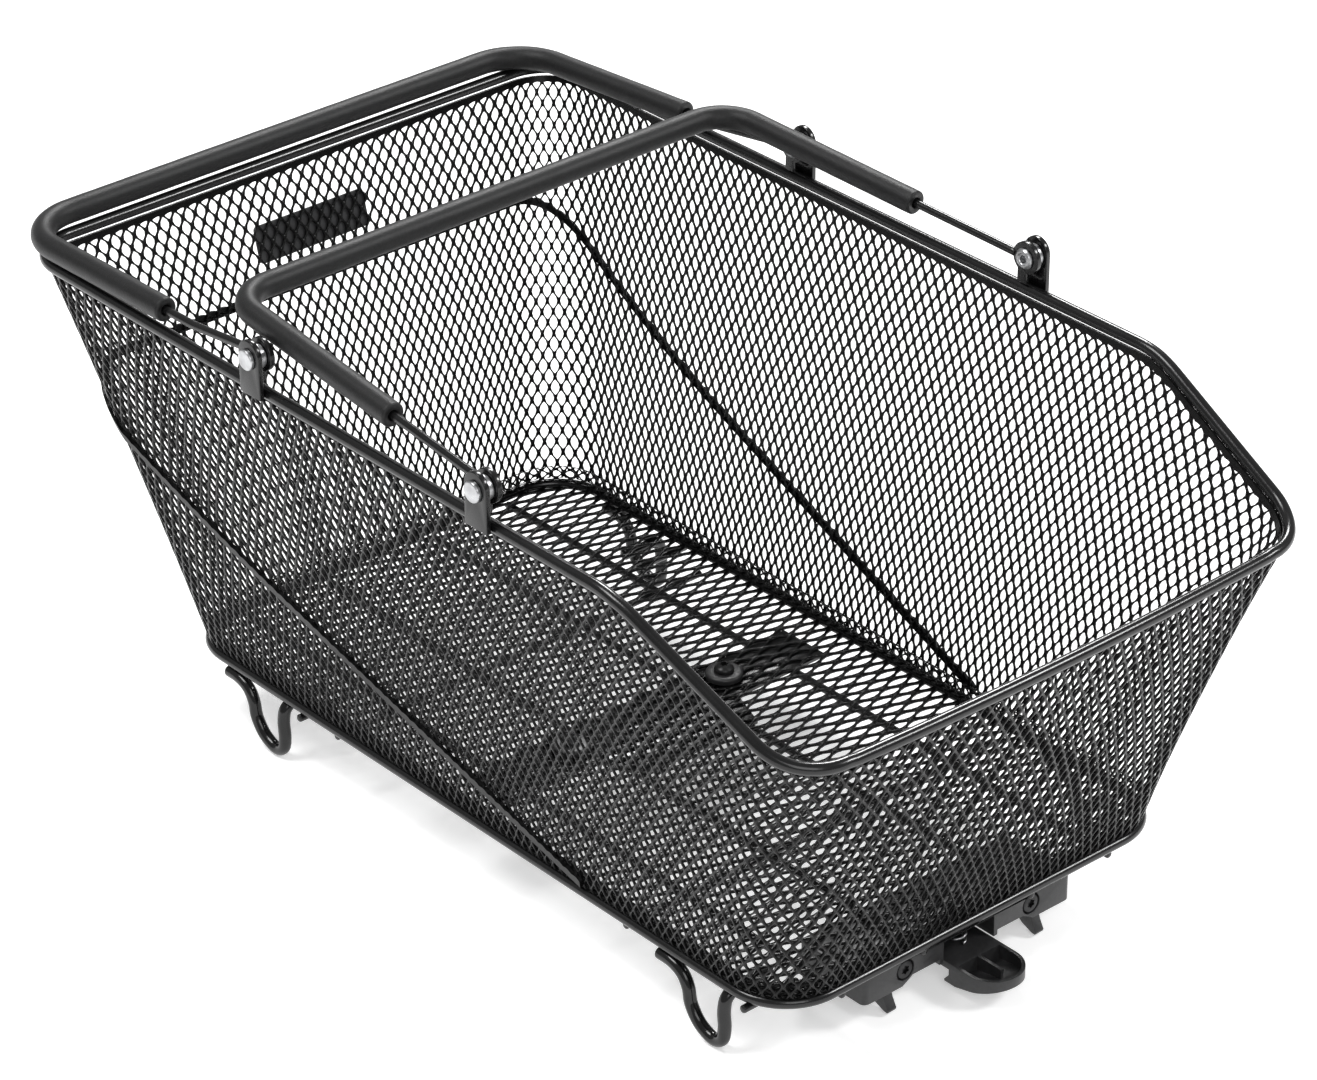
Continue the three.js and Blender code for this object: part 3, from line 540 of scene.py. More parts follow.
def lattice(low, high, pitch):
    """Cell centres over a rectangle, with every other row shifted by half a cell."""
    columns = round((high[0] - low[0]) / pitch[0])
    rows = int(math.ceil((high[1] - low[1]) / pitch[1] * 2)) + 2
    centres = []
    for row in range(-1, rows):
        shift = 0.5 * (row % 2)
        for column in range(columns):
            centres.append((low[0] + (column + shift) * pitch[0], low[1] + row * pitch[1] / 2))
    return np.array(centres)


def net(name, centres, pitch, hole, held, surface):
    """Expanded metal: one ring of metal round each hole, which leans as the metal was stretched.

    held moves points back inside the sheet's edge, and surface turns them into places in space.
    """
    outer = cell_outline(pitch)
    inner = hole_outline(hole["half"])
    cells = centres[:, None, :]
    rim, edge = held(cells + outer), held(cells + inner)
    lean = np.broadcast_to(hole["tilt"] * inner[:, 1] / hole["half"][1], edge.shape[:2])
    layers = []
    for side in (0.5, -0.5):
        shift = side * hole["thick"]
        layers.append(surface(rim[..., 0], rim[..., 1], np.full(rim.shape[:2], shift)))
        layers.append(surface(edge[..., 0], edge[..., 1], lean + shift))
    vertices = np.stack(layers, axis=1)
    size = CELL_POINTS
    k = np.arange(size)
    n = (k + 1) % size
    out_front, in_front, out_back, in_back = (j * size for j in range(4))
    quads = [
        (out_front + k, out_front + n, in_front + n, in_front + k),
        (out_back + n, out_back + k, in_back + k, in_back + n),
        (in_front + k, in_front + n, in_back + n, in_back + k),
    ]
    one = np.vstack([t for a, b, c, d in quads for t in (np.stack([a, b, c], 1), np.stack([a, c, d], 1))])
    start = np.arange(len(centres))[:, None, None] * 4 * size
    return triangle_object(name, vertices.reshape(-1, 3), (one[None] + start).reshape(-1, 3))


def wall_net(name, chosen, low, high):
    """The part of the wall between two edges, for the cells that are chosen."""
    every = lattice((0, 0), (AROUND, RIM_RISE), WALL_PITCH)
    u, v = every[:, 0], every[:, 1]
    reach = WALL_PITCH[1] / 2
    inside = (v + reach > low(u)) & (v - reach < high(u)) & chosen(u)

    def held(points):
        u, v = points[..., 0], points[..., 1]
        return np.stack([u, np.clip(v, low(u), high(u))], axis=-1)

    return net(name, every[inside], WALL_PITCH, WALL_HOLE, held, on_wall)


def facing(u):
    """The way a place round the basket faces, in degrees from +X."""
    values = at_round(u)
    return np.degrees(np.arctan2(values[6], values[5]))


WALL_PARTS = {
    "front": lambda u: np.abs(facing(u)) < 45,
    "right": lambda u: (facing(u) <= -45) & (facing(u) > -135),
    "left": lambda u: (facing(u) >= 45) & (facing(u) < 135),
    "rear": lambda u: np.abs(facing(u)) >= 135,
}


def seam_end(u):
    """True where the lower panel is present."""
    ring_x = at_round(u)[0]
    return (ring_x < SEAM_END_X) & (np.abs(facing(u)) > 45)


def upper_foot(u):
    lower = np.maximum(seam_rise(u) + GAP / 2, WALL_FOOT)
    return np.where(seam_end(u), lower, WALL_FOOT)


def lower_top(u):
    return np.maximum(seam_rise(u) - GAP / 2, WALL_FOOT)


def lower_foot(u):
    return np.full(np.shape(u), WALL_FOOT)


def ribbon(name, u, low, high, inner, outer, closed):
    """A solid strip of sheet along the wall, between two edges."""
    low, high = np.broadcast_to(low, u.shape), np.broadcast_to(high, u.shape)
    corners = [(low, inner), (low, outer), (high, outer), (high, inner)]
    sections = np.stack([on_wall(u, rise, np.full(u.shape, offset)) for rise, offset in corners], axis=1)
    count = len(u)
    vertices = sections.reshape(-1, 3)
    faces = []
    for i in range(count if closed else count - 1):
        here, onward = 4 * i, 4 * ((i + 1) % count)
        for j in range(4):
            k = (j + 1) % 4
            faces.append((here + j, onward + j, onward + k, here + k))
    if not closed:
        faces.append((0, 1, 2, 3))
        faces.append(tuple(4 * (count - 1) + j for j in (3, 2, 1, 0)))
    return mesh_object(name, vertices, faces, smooth=False)


# ---- materials ----
class Shader:
    """A Principled material with helpers for its procedural detail."""

    def __init__(self, name, color, roughness, metallic=0.0, coat=0.0, specular=0.5, sheen=0.0):
        self.material = bpy.data.materials.new(name)
        self.material.use_nodes = True
        self.nodes = self.material.node_tree.nodes
        self.links = self.material.node_tree.links
        self.base = self.nodes["Principled BSDF"]
        self.base.inputs["Base Color"].default_value = (*color, 1)
        self.base.inputs["Roughness"].default_value = roughness
        self.base.inputs["Metallic"].default_value = metallic
        self.base.inputs["Coat Weight"].default_value = coat
        self.base.inputs["Coat Roughness"].default_value = 0.18
        self.base.inputs["Specular IOR Level"].default_value = specular
        self.base.inputs["Sheen Weight"].default_value = sheen
        self.place = self.nodes.new("ShaderNodeTexCoord").outputs["Object"]

    def noise(self, scale, detail=3.0, rough=0.5):
        node = self.nodes.new("ShaderNodeTexNoise")
        node.inputs["Scale"].default_value = scale
        node.inputs["Detail"].default_value = detail
        node.inputs["Roughness"].default_value = rough
        self.links.new(self.place, node.inputs["Vector"])
        return node.outputs["Fac"]

    def cells(self, scale):
        node = self.nodes.new("ShaderNodeTexVoronoi")
        node.inputs["Scale"].default_value = scale
        self.links.new(self.place, node.inputs["Vector"])
        return node.outputs["Distance"]

    def between(self, value, low, high, dark, light):
        """Colours between two ends, as a value goes from low to high."""
        node = self.nodes.new("ShaderNodeValToRGB")
        node.color_ramp.elements[0].position = low
        node.color_ramp.elements[0].color = (*dark, 1)
        node.color_ramp.elements[1].position = high
        node.color_ramp.elements[1].color = (*light, 1)
        self.links.new(value, node.inputs["Fac"])
        return node.outputs["Color"]

    def spread(self, value, low, high):
        node = self.nodes.new("ShaderNodeMapRange")
        node.inputs["To Min"].default_value = low
        node.inputs["To Max"].default_value = high
        self.links.new(value, node.inputs["Value"])
        return node.outputs["Result"]

    def color(self, socket):
        self.links.new(socket, self.base.inputs["Base Color"])

    def roughness(self, socket):
        self.links.new(socket, self.base.inputs["Roughness"])

    def bump(self, height, strength, distance):
        node = self.nodes.new("ShaderNodeBump")
        node.inputs["Strength"].default_value = strength
        node.inputs["Distance"].default_value = distance
        self.links.new(height, node.inputs["Height"])
        before = self.base.inputs["Normal"].links
        if before:
            self.links.new(before[0].from_socket, node.inputs["Normal"])
        self.links.new(node.outputs["Normal"], self.base.inputs["Normal"])


def grey(value):
    """A grey with a trace of blue."""
    return (value, value, value * 1.04)


def powder_coat(name, low, high, roughness, specular=0.3):
    """Satin black powder coat, with a faint orange peel."""
    coat = Shader(name, grey(low), roughness, coat=0.03, specular=specular)
    coat.color(coat.between(coat.noise(60), 0.3, 0.75, grey(low), grey(high)))
    coat.roughness(coat.spread(coat.noise(180, 4), roughness - 0.07, roughness + 0.08))
    coat.bump(coat.noise(900, 2), 0.22, 0.12 * MM)
    coat.bump(coat.noise(4200, 2), 0.15, 0.03 * MM)
    return coat.material


def foam():
    """Closed-cell grip foam: soft, matte and finely pored."""
    grip = Shader("grip_foam", grey(0.007), 0.44, specular=0.34, sheen=0.02)
    grip.color(grip.between(grip.noise(700, 5, 0.7), 0.32, 0.72, grey(0.004), grey(0.012)))
    grip.roughness(grip.spread(grip.noise(90), 0.38, 0.52))
    grip.bump(grip.cells(2600), 0.5, 0.12 * MM)
    grip.bump(grip.noise(350, 4, 0.6), 0.35, 0.2 * MM)
    return grip.material


def moulded():
    """Fine spark-eroded grain on dark moulded plastic."""
    shell = Shader("moulded_plastic", grey(0.02), 0.4, specular=0.5)
    shell.color(shell.between(shell.noise(500, 4), 0.3, 0.75, grey(0.016), grey(0.027)))
    shell.roughness(shell.spread(shell.noise(120), 0.3, 0.44))
    shell.bump(shell.noise(3200, 4, 0.65), 0.4, 0.07 * MM)
    return shell.material


def zinc():
    """Bright zinc on steel, with fine turning marks and a little cloudiness."""
    plating = Shader("bright_zinc", (0.5, 0.51, 0.52), 0.3, metallic=1.0)
    plating.color(plating.between(plating.noise(260, 4), 0.3, 0.8, (0.38, 0.38, 0.39), (0.6, 0.61, 0.62)))
    plating.roughness(plating.spread(plating.noise(420, 4), 0.2, 0.4))
    plating.bump(plating.noise(1500, 3), 0.2, 0.04 * MM)
    return plating.material


def black_oxide():
    """Oiled black oxide, semi-gloss."""
    oxide = Shader("black_oxide", grey(0.02), 0.32, metallic=0.6)
    oxide.color(oxide.between(oxide.noise(300, 4), 0.3, 0.8, grey(0.014), grey(0.04)))
    oxide.roughness(oxide.spread(oxide.noise(500), 0.25, 0.42))
    oxide.bump(oxide.noise(2400, 2), 0.15, 0.03 * MM)
    return oxide.material


def floor_paint():
    surface = Shader("pale_floor", (0.91, 0.91, 0.91), 0.75)
    surface.base.inputs["Emission Color"].default_value = (1, 1, 1, 1)
    surface.base.inputs["Emission Strength"].default_value = 0.42
    surface.color(surface.between(surface.noise(3), 0.3, 0.7, (0.9, 0.9, 0.9), (0.92, 0.92, 0.92)))
    return surface.material


MATERIALS = {
    "painted_rod": powder_coat("powder_coated_rod", 0.004, 0.007, 0.2, 0.45),
    "painted_mesh": powder_coat("powder_coated_mesh", 0.002, 0.004, 0.24, 0.16),
    "coated_hook": powder_coat("dip_coated_hook", 0.003, 0.005, 0.14, 0.45),
    "badge": powder_coat("badge_satin", 0.035, 0.05, 0.4),
    "grip_foam": foam(),
    "plastic": moulded(),
    "rivet": zinc(),
    "black_screw": black_oxide(),
}


def dressed(piece, body, slot, *nodes):
    """Gives a piece its finish, its body and the CAD nodes that it stands for."""
    piece.data.materials.clear()
    piece.data.materials.append(MATERIALS[slot])
    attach(piece, body)
    if nodes:
        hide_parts(*nodes)
    return piece


# ---- camera, floor and light ----
VIEW_AZIMUTH, VIEW_ELEVATION, VIEW_ROLL = 49.1, 30.13, -0.353  # degrees
VIEW_CENTRE, VIEW_DISTANCE, VIEW_LENS = Vector((99.85, -82.49, 199.02)) * MM, 1.9579, 132.9
FLOOR_REACH, FLOOR_LEVEL = 6.0, -0.3 * MM
LIGHT_TARGET = Vector((0, 0, 0.12))
LIGHTS = {  # place, size and power
    "key": ((-0.6, -1.1, 2.3), 0.9, 30),
    "fill": ((1.9, -0.9, 1.5), 1.2, 14),
    "back": ((-1.3, 1.5, 1.9), 0.6, 40),
    "side": ((1.6, 1.6, 1.9), 0.6, 34),
}


def aimed(thing, direction):
    """Turns a camera or light to look along a direction."""
    thing.rotation_mode = "QUATERNION"
    thing.rotation_quaternion = direction.to_track_quat("-Z", "Y")


def camera():
    azimuth, elevation = math.radians(VIEW_AZIMUTH), math.radians(VIEW_ELEVATION)
    back = Vector((
        math.sin(azimuth) * math.cos(elevation),
        -math.cos(azimuth) * math.cos(elevation),
        math.sin(elevation),
    ))
    data = bpy.data.cameras.new("camera")
    data.sensor_width = 36
    data.lens = VIEW_LENS
    data.clip_start, data.clip_end = 0.1, 30
    eye = linked("camera", data)
    eye.location = VIEW_CENTRE + back * VIEW_DISTANCE
    aimed(eye, -back)
    eye.rotation_quaternion @= Matrix.Rotation(math.radians(VIEW_ROLL), 3, "Z").to_quaternion()
    bpy.context.scene.camera = eye
    bpy.context.scene.view_settings.view_transform = "Standard"


def ground():
    square = ((-1, -1), (1, -1), (1, 1), (-1, 1))
    corners = [(x * FLOOR_REACH, y * FLOOR_REACH, FLOOR_LEVEL) for x, y in square]
    floor = mesh_object("floor", corners, [(0, 1, 2, 3)])
    floor.data.materials.append(floor_paint())


def lights():
    world = bpy.data.worlds.new("studio")
    world.use_nodes = True
    world.node_tree.nodes["Background"].inputs["Color"].default_value = (1, 1, 1, 1)
    world.node_tree.nodes["Background"].inputs["Strength"].default_value = 0.36
    bpy.context.scene.world = world

    for name, (spot, size, power) in LIGHTS.items():
        lamp = bpy.data.lights.new(name, "AREA")
        lamp.shape = "SQUARE"
        lamp.size = size
        lamp.energy = power
        light = linked(name, lamp)
        light.location = spot
        aimed(light, LIGHT_TARGET - Vector(spot))


# ---- basket ----
def shell():
    ring = loop_rod("bottom_ring_rod", [(x, y, RING_Z) for x, y in OUTLINE[:, 0:2]], RING_RADIUS)
    dressed(ring, "basket", "painted_rod", "bottom_ring")
    rim_points = [(row[2], row[3], RING_Z + row[4]) for row in OUTLINE]
    dressed(loop_rod("top_rim_rod", rim_points, RIM_RADIUS), "basket", "painted_rod", "top_rim")

    for part, chosen in WALL_PARTS.items():
        piece = wall_net(f"wall_net_upper_{part}", chosen, upper_foot, wall_top)
        dressed(piece, "basket", "painted_mesh", "wall_mesh_upper")
        if part != "front":
            piece = wall_net(f"wall_net_lower_{part}", below_seam(chosen), lower_foot, lower_top)
            dressed(piece, "basket", "painted_mesh", "wall_mesh_lower")


def below_seam(chosen):
    """The places of one part of the wall that have a lower panel."""
    return lambda u: chosen(u) & seam_end(u) & (seam_rise(u) > WALL_FOOT)


def teeth(u, tall):
    """One round tooth for each cell of the wall."""
    return tall * np.abs(np.sin(np.pi * u / WALL_PITCH[0]))


def hem():
    """The doubled top edge of the wall, with the cut diamonds along its lower edge."""
    u = np.arange(0, AROUND, WALL_PITCH[0] / TOOTH_STEPS)
    top = wall_top(u)
    foot = top - HEM_TALL + teeth(u, HEM_SCALLOP)
    piece = ribbon("wall_hem", u, foot, top, HEM_INNER, HEM_OUTER, True)
    dressed(piece, "basket", "painted_mesh")


def seam():
    """The folded lap between the two wall panels, with a saw-toothed upper edge."""
    every = np.arange(0, AROUND, WALL_PITCH[0] / TOOTH_STEPS)
    here = seam_end(every) & (at_round(every)[0] < SEAM_TIP_X)
    break_at = int(np.argmax(~here))
    kept = np.roll(every, -break_at)[np.roll(here, -break_at)]
    rise = seam_rise(kept)
    top = rise + SEAM_HALF + teeth(kept, SEAM_TOOTH)
    piece = ribbon("seam_lap", kept, rise - SEAM_HALF, top, SEAM_INNER, SEAM_OUTER, False)
    dressed(piece, "basket", "painted_mesh", "seam_band")


def basket_floor():
    inset = RING_RADIUS + GAP
    low = np.array([RING_REAR + inset, -RING_HALF + inset])
    high = np.array([RING_FRONT - inset, RING_HALF - inset])
    radius = RING_CORNER - inset

    def held(points):
        """Points are (across, along) and stay inside the rounded rectangle."""
        flat = points[..., ::-1]
        core = np.clip(flat, low + radius, high - radius)
        away = flat - core
        far = np.linalg.norm(away, axis=-1, keepdims=True)
        scale = np.where(far > radius, radius / np.maximum(far, 1e-9), 1)
        return (core + away * scale)[..., ::-1]

    def surface(across, along, offset):
        return np.stack([along, across, RING_Z + offset], axis=-1)

    start = (-RING_HALF - FLOOR_PITCH[0] / 2, RING_REAR)
    centres = lattice(start, (RING_HALF + FLOOR_PITCH[0], RING_FRONT), FLOOR_PITCH)
    moved = np.linalg.norm(held(centres) - centres, axis=1)
    piece = net("floor_net", centres[moved < FLOOR_PITCH[1] / 2], FLOOR_PITCH, FLOOR_HOLE, held, surface)
    dressed(piece, "basket", "painted_mesh", "floor_mesh")


def upturn():
    """The floor sheet's edge, folded up inside the wall."""
    centres = lattice((0, UPTURN_LOW), (AROUND, UPTURN_HIGH), UPTURN_PITCH)

    def held(points):
        return np.stack([points[..., 0], np.clip(points[..., 1], UPTURN_LOW, UPTURN_HIGH)], axis=-1)

    def surface(u, rise, offset):
        return on_wall(u, rise, offset - UPTURN_INSET)

    piece = net("floor_upturn", centres, UPTURN_PITCH, UPTURN_HOLE, held, surface)
    dressed(piece, "basket", "painted_mesh")


def badge():
    """A blank plate that leans with the rear wall."""
    low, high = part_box("badge_plate")
    centre = (low + high) / 2
    lean = math.atan2(RING_REAR - RIM_REAR, RIM_RISE)
    place = Matrix.Translation(centre) @ Matrix.Rotation(-lean, 4, "Y")
    across_and_up = Matrix(((0, 0, 1, 0), (1, 0, 0, 0), (0, 1, 0, 0), (0, 0, 0, 1)))
    x, y = BADGE_HALF - BADGE_CORNER, BADGE_TALL - BADGE_CORNER
    shape = []
    for start, spot in ((0, (x, y)), (90, (-x, y)), (180, (-x, -y)), (270, (x, -y))):
        shape += arc(BADGE_CORNER, start, start + 90, 8, spot)
    blank = plate("badge_blank", [shape], BADGE_THICK, place @ across_and_up, 0.3 * MM)
    dressed(blank, "basket", "badge", "badge_plate")


def wires():
    """Rails, cross wires and hook stays under the floor, each straight."""
    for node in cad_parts:
        if node.startswith(("floor_rail", "cross_wire", "hook_stay")):
            low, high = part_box(node)
            centre, size = (low + high) / 2, high - low
            axis = 0 if size.x > size.y else 1
            ends = [centre.copy(), centre.copy()]
            ends[0][axis], ends[1][axis] = low[axis], high[axis]
            dressed(rod(f"{node}_wire", ends, WIRE_RADIUS, 16), "basket", "painted_rod", node)


def upright(x, y, z):
    return Matrix.Translation((x, y, z))


STAR_LOBES, STAR_WAVE, STAR_SIDES = 6, 0.17, 72


def star(radius, depth, place):
    """A six-lobed prism, which cuts the socket of a screw."""
    vertices = []
    for z in (-depth, depth):
        for k in range(STAR_SIDES):
            angle = 2 * math.pi * k / STAR_SIDES
            far = radius * (1 + STAR_WAVE * math.cos(STAR_LOBES * angle))
            vertices.append(place @ Vector((far * math.cos(angle), far * math.sin(angle), z)))
    return mesh_object("star", vertices, tube_faces(2, STAR_SIDES) + end_faces(2, STAR_SIDES))


def floor_washer(side):
    """A domed washer. Returns the middle of its top, where its screw goes."""
    low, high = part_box(f"floor_washer_{side}")
    x, y = (low.x + high.x) / 2, (low.y + high.y) / 2
    outer, thick, hole = 8.8 * MM, high.z - low.z, 2.8 * MM
    dome = [(outer - 1.6 * MM + r, thick - 1.4 * MM + z) for r, z in arc(1.4 * MM, 0, 75, 6)]
    profile = [(hole, 0), (outer - 0.3 * MM, 0), *dome, (5.6 * MM, thick), (hole, thick), (hole, 0)]
    piece = lathed(f"floor_cup_{side}", profile, upright(x, y, low.z), 64)
    dressed(piece, "basket", "plastic", f"floor_washer_{side}")
    return x, y, high.z


def floor_screw(side, x, y, washer_top):
    """A button-head screw, whose head sits on its washer."""
    low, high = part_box(f"floor_screw_{side}")
    long = high.z - low.z
    shank, shaft, head, crown = washer_top + GAP - low.z, 2.5 * MM, 4.6 * MM, 6.2 * MM
    button = arc(crown, 47, 88, 8, (0, high.z - crown - low.z))
    profile = [(AXIS, 0), (2.2 * MM, 0), (shaft, 0.4 * MM), (shaft, shank), (head, shank)]
    profile += [(head, shank + 0.9 * MM), *button, (AXIS, long)]
    screw = lathed(f"floor_button_{side}", profile, upright(x, y, low.z), 64)
    screw = carved(screw, star(1.75 * MM, 1.8 * MM, upright(x, y, high.z)))
    dressed(sharpened(screw), "basket", "black_screw", f"floor_screw_{side}")


def floor_fixings():
    for side in SIDES:
        floor_screw(side, *floor_washer(side))
        nut = refined(f"floor_hex_{side}", f"floor_nut_{side}", 0.35 * MM)
        dressed(nut, "basket", "black_screw", f"floor_nut_{side}")
    dressed(refined("support_strap", "support_plate", 0.3 * MM), "basket", "painted_rod", "support_plate")


HOOK_SIDE = (  # along the basket from HOOK_X and up from the ring, in millimetres
    (-41, -5.7), (-32, -5.9), (-25.5, -8.6), (-22, -14), (-20.4, -21),
    (-15, -28), (-6.5, -31.3), (-1, -28.5), (0.4, -22), (0, -14),
)
HOOK_X = {"rear": -123 * MM, "front": 173 * MM}
HOOK_Y, HOOK_RADIUS = 112 * MM, 2.9 * MM


def hooks():
    """Bent wires, which rise beside the ring and then run inwards under the floor."""
    under = RING_Z - RING_RADIUS - GAP - HOOK_RADIUS
    for side, sign in SIDES.items():
        for end in ENDS:
            x = HOOK_X[end]
            points = [Vector((x + dx * MM, sign * HOOK_Y, RING_Z + dz * MM)) for dx, dz in HOOK_SIDE]
            points.append(Vector((x, sign * (HOOK_Y - 1.5 * MM), RING_Z - 8 * MM)))
            points.append(Vector((x, sign * (HOOK_Y - 7 * MM), under)))
            points.append(Vector((x, sign * (HOOK_Y - 24 * MM), under)))
            piece = rod(f"hook_wire_{end}_{side}", smooth_path(points), HOOK_RADIUS, 24, 1 * MM)
            dressed(piece, "basket", "coated_hook", f"hook_{end}_{side}")


# ---- handles ----
PIVOT_HOLE = arc(PIVOT_BORE, 0, 352.5, 47)


def upright_plate(x, y, z):
    """From a drawing in X and Y to a plate that stands in X and Z."""
    return Matrix.Translation((x, y, z)) @ Matrix.Rotation(math.pi / 2, 4, "X")


def bail_path(end, start):
    """A handle's centreline, starting and ending at a given distance behind the pivots."""
    bail, pivot_x = BAILS[end], PIVOT_X[end]
    knee_x, knee_z = bail.get("knee", (pivot_x, PIVOT_Z))

    def arm_point(sign, x):
        out = np.interp(x, [bail["x"], pivot_x], [bail["half"], EYE_Y])
        lean = np.interp(x, [bail["x"], pivot_x], [bail["skew"], 0])
        z = np.interp(x, [bail["x"], knee_x, pivot_x], [bail["z"], knee_z, PIVOT_Z])
        return Vector((x, sign * out + lean, z))

    spots = [pivot_x - start]
    if spots[0] > knee_x:
        spots.append(knee_x)
    right = [arm_point(-1, x) for x in (*spots, bail["x"])]
    left = [arm_point(1, x) for x in (bail["x"], *reversed(spots))]
    knees = [KNEE_BEND] * (len(spots) - 1)
    return filleted([*right, *left], [*knees, bail["bend"], bail["bend"], *knees])


def eye_outline():
    """The flattened end of a handle's rod: a disc with a short tail where the rod joins it."""
    radius, foot, back, front = 7.5 * MM, 12.4 * MM, 4.6 * MM, 0.6 * MM
    start = math.degrees(math.atan2(-math.sqrt(radius**2 - front**2), front))
    finish = math.degrees(math.atan2(-math.sqrt(radius**2 - back**2), -back)) + 360
    return [(-back, -foot), (front, -foot), *arc(radius, start, finish, 48)]


def handle_rod(end):
    parts = [rod("bar", bail_path(end, BAIL_START), BAIL_RADIUS, 20, 1.5 * MM)]
    for sign in SIDES.values():
        place = upright_plate(PIVOT_X[end], sign * EYE_Y, PIVOT_Z)
        parts.append(plate("eye", [eye_outline(), PIVOT_HOLE], EYE_THICK, place, 0.4 * MM))
    dressed(merged(f"bail_bar_{end}", parts), f"{end}_handle", "painted_rod", f"handle_rod_{end}")


def foam_grip(end):
    """A foam sleeve with rounded lips and an open mouth at each end, and a faintly uneven skin."""
    line = Line(bail_path(end, BAILS[end]["grip"]))
    full = line.length
    mouth = [(GRIP_MOUTH, GRIP_BORE), (0.3 * MM, GRIP_BORE), (0, GRIP_BORE + 0.3 * MM)]
    mouth += [(GRIP_LIP - dz, GRIP_RADIUS - GRIP_LIP + dr) for dr, dz in arc(GRIP_LIP, 90, 0, 6)]
    skin = []
    for d in line.part(GRIP_LIP, full - GRIP_LIP, 1.2 * MM)[1:-1]:
        uneven = 0.006 * math.sin(d / (3.1 * MM)) * math.sin(d / (7.7 * MM))
        skin.append((d, GRIP_RADIUS * (1 + uneven)))
    stations = mouth + skin + [(full - d, r) for d, r in reversed(mouth)]
    grip = swept(f"grip_sleeve_{end}", line, stations, 32)
    dressed(grip, f"{end}_handle", "grip_foam", f"grip_{end}")


def handles():
    for end in ENDS:
        handle_rod(end)
        foam_grip(end)


def bracket(end, side, sign):
    shape = [(-BRACKET_HALF, -BRACKET_BELOW), (BRACKET_HALF, -BRACKET_BELOW)]
    shape += arc(BRACKET_HALF, 0, 180, 40, (0, BRACKET_ARCH))
    place = upright_plate(PIVOT_X[end], sign * (BRACKET_Y + BRACKET_THICK / 2), PIVOT_Z)
    ear = plate(f"handle_ear_{end}_{side}", [shape, PIVOT_HOLE], BRACKET_THICK, place, 0.5 * MM)
    dressed(ear, "basket", "painted_rod", f"handle_bracket_{end}_{side}")


def spacer(end, side, axle):
    """A bored washer with broken edges, between an eye and its bracket."""
    near, far = EYE_Y + EYE_THICK / 2 + GAP, BRACKET_Y - GAP
    inner, edge, outer = PIVOT_BORE, 5.3 * MM, 5.6 * MM
    profile = [(inner, near), (edge, near), (outer, near + GAP), (outer, far - GAP), (edge, far)]
    profile += [(inner, far), (inner, near)]
    washer = lathed(f"pivot_washer_{end}_{side}", profile, axle)
    dressed(washer, "basket", "rivet", f"pivot_spacer_{end}_{side}")


def rivet(end, side, axle):
    """A turned rivet: a rolled head inside the eye, a shank, and a low dome outside the bracket."""
    base = BRACKET_Y + BRACKET_THICK + GAP
    top, flange = base + 1.8 * MM, EYE_Y - EYE_THICK / 2 - GAP
    foot = flange - 1.65 * MM
    shank, head = 2.7 * MM, 4.8 * MM
    profile = [(AXIS, foot + 3 * MM), (1.7 * MM, foot + 3 * MM), (1.9 * MM, foot + 0.7 * MM)]
    profile += [(3.3 * MM + r, foot + 1.1 * MM + z) for r, z in arc(1.1 * MM, 200, 320, 10)]
    profile += [(4.3 * MM, foot + 0.7 * MM), (head, foot + 1.1 * MM), (head, flange)]
    profile += [(shank, flange), (shank, base), (4.7 * MM, base)]
    profile += [(3.9 * MM + r, top - 0.8 * MM + z) for r, z in arc(0.8 * MM, 0, 75, 6)]
    profile += [(3 * MM, top + 0.05 * MM), (AXIS, top + 0.1 * MM)]
    piece = lathed(f"rivet_{end}_{side}", profile, axle)
    dressed(piece, "basket", "rivet", f"pivot_rivet_{end}_{side}")


def pivots():
    for end in ENDS:
        for side, sign in SIDES.items():
            turn = Matrix.Rotation(-sign * math.pi / 2, 4, "X")
            axle = Matrix.Translation((PIVOT_X[end], 0, PIVOT_Z)) @ turn
            bracket(end, side, sign)
            spacer(end, side, axle)
            rivet(end, side, axle)


# ---- rack adapter ----
COIL_WIRE, COIL_TURNS, COIL_STEPS = 0.6 * MM, 2.5, 180


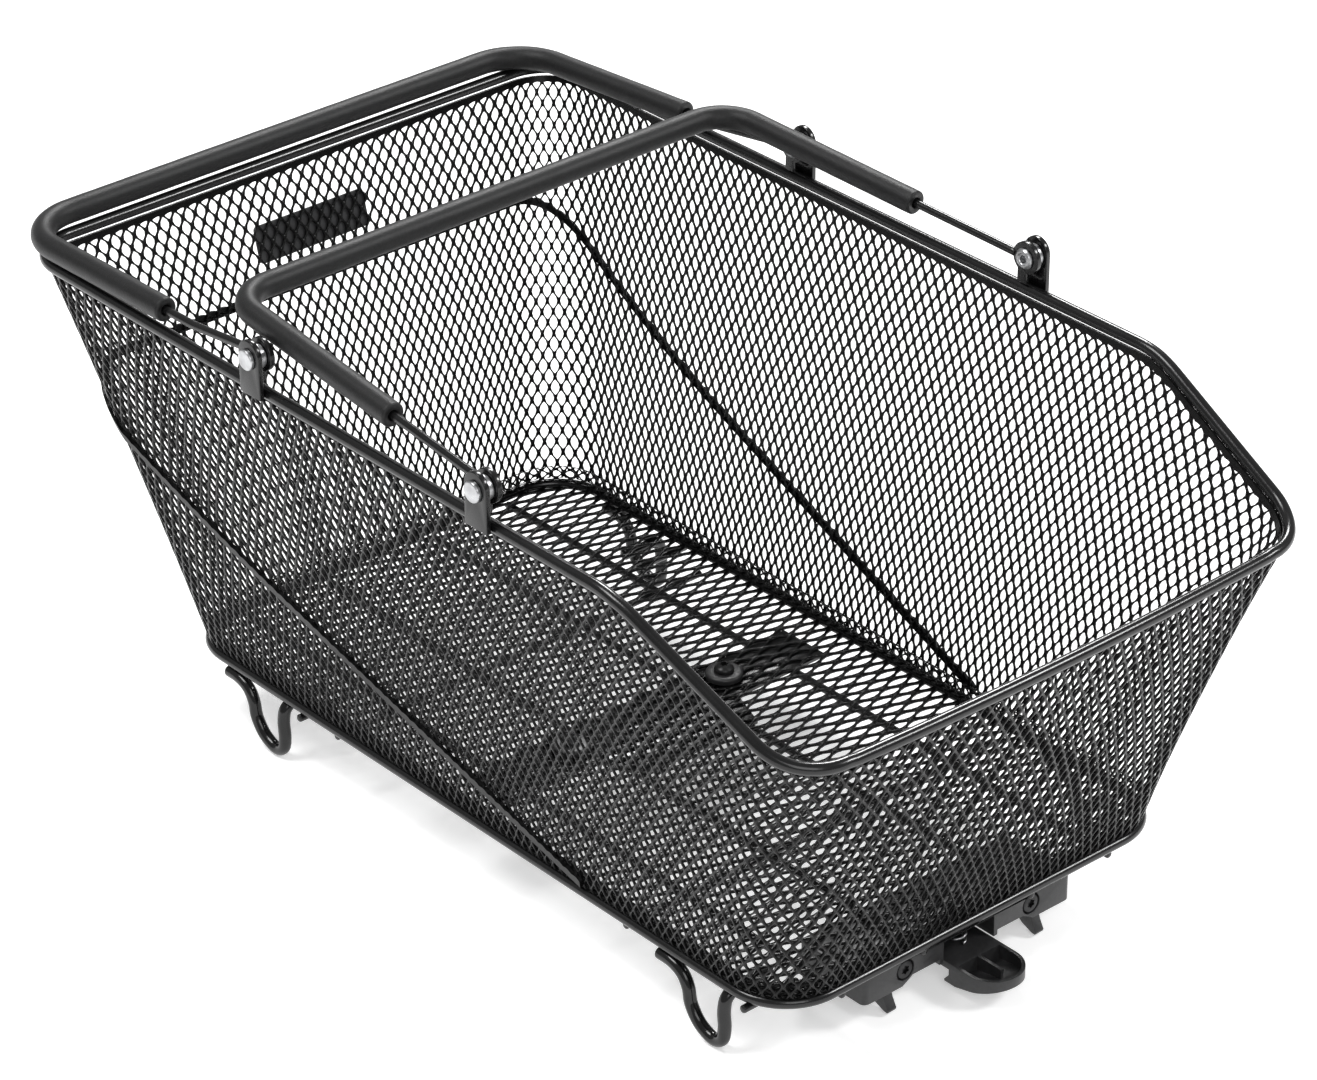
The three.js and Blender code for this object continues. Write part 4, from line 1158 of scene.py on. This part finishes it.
def adapter_screw(side):
    low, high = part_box(f"adapter_screw_{side}")
    y, z = (low.y + high.y) / 2, (low.z + high.z) / 2
    place = Matrix.Translation((low.x, y, z)) @ Matrix.Rotation(math.pi / 2, 4, "Y")
    long = high.x - low.x
    shank, shaft, head = long - 1.8 * MM, 1.9 * MM, 4.6 * MM
    profile = [(AXIS, 0), (1.4 * MM, 0), (shaft, 1 * MM), (shaft, shank), (head, shank)]
    profile += [(head, shank + 0.8 * MM), (4 * MM, long - 0.15 * MM), (3 * MM, long), (AXIS, long)]
    screw = lathed(f"adapter_lobed_{side}", profile, place)
    screw = carved(screw, star(1.9 * MM, 1.2 * MM, place @ Matrix.Translation((0, 0, long))))
    dressed(sharpened(screw), "basket", "black_screw", f"adapter_screw_{side}")


def adapter():
    dressed(refined("adapter_block", "adapter_body", 0.6 * MM), "basket", "plastic", "adapter_body")
    dressed(refined("adapter_clamp", "adapter_top_plate", 0.4 * MM), "basket", "plastic", "adapter_top_plate")
    dressed(refined("lever_tongue", "release_lever", 0.45 * MM), "lever", "plastic", "release_lever")
    for side in SIDES:
        adapter_screw(side)


def lever_pivot():
    """The lever's pin, and the coil spring that holds it shut."""
    low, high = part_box("lever_pin")
    centre = (low + high) / 2
    ends = [Vector((centre.x, low.y, centre.z)), Vector((centre.x, high.y, centre.z))]
    dressed(rod("lever_axle", ends, 1.4 * MM), "basket", "rivet", "lever_pin")

    low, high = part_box("lever_spring")
    x, radius = (low.x + high.x) / 2, (high.x - low.x) / 2 - COIL_WIRE
    points = []
    for k in range(COIL_STEPS + 1):
        angle = 2 * math.pi * COIL_TURNS * k / COIL_STEPS
        z = low.z + COIL_WIRE + (high.z - low.z - 2 * COIL_WIRE) * k / COIL_STEPS
        points.append(Vector((x + radius * math.cos(angle), radius * math.sin(angle), z)))
    dressed(rod("lever_coil", points, COIL_WIRE, 14, 0.4 * MM), "basket", "rivet", "lever_spring")


camera()
ground()
lights()
shell()
hem()
seam()
basket_floor()
upturn()
badge()
wires()
floor_fixings()
hooks()
handles()
pivots()
adapter()
lever_pivot()
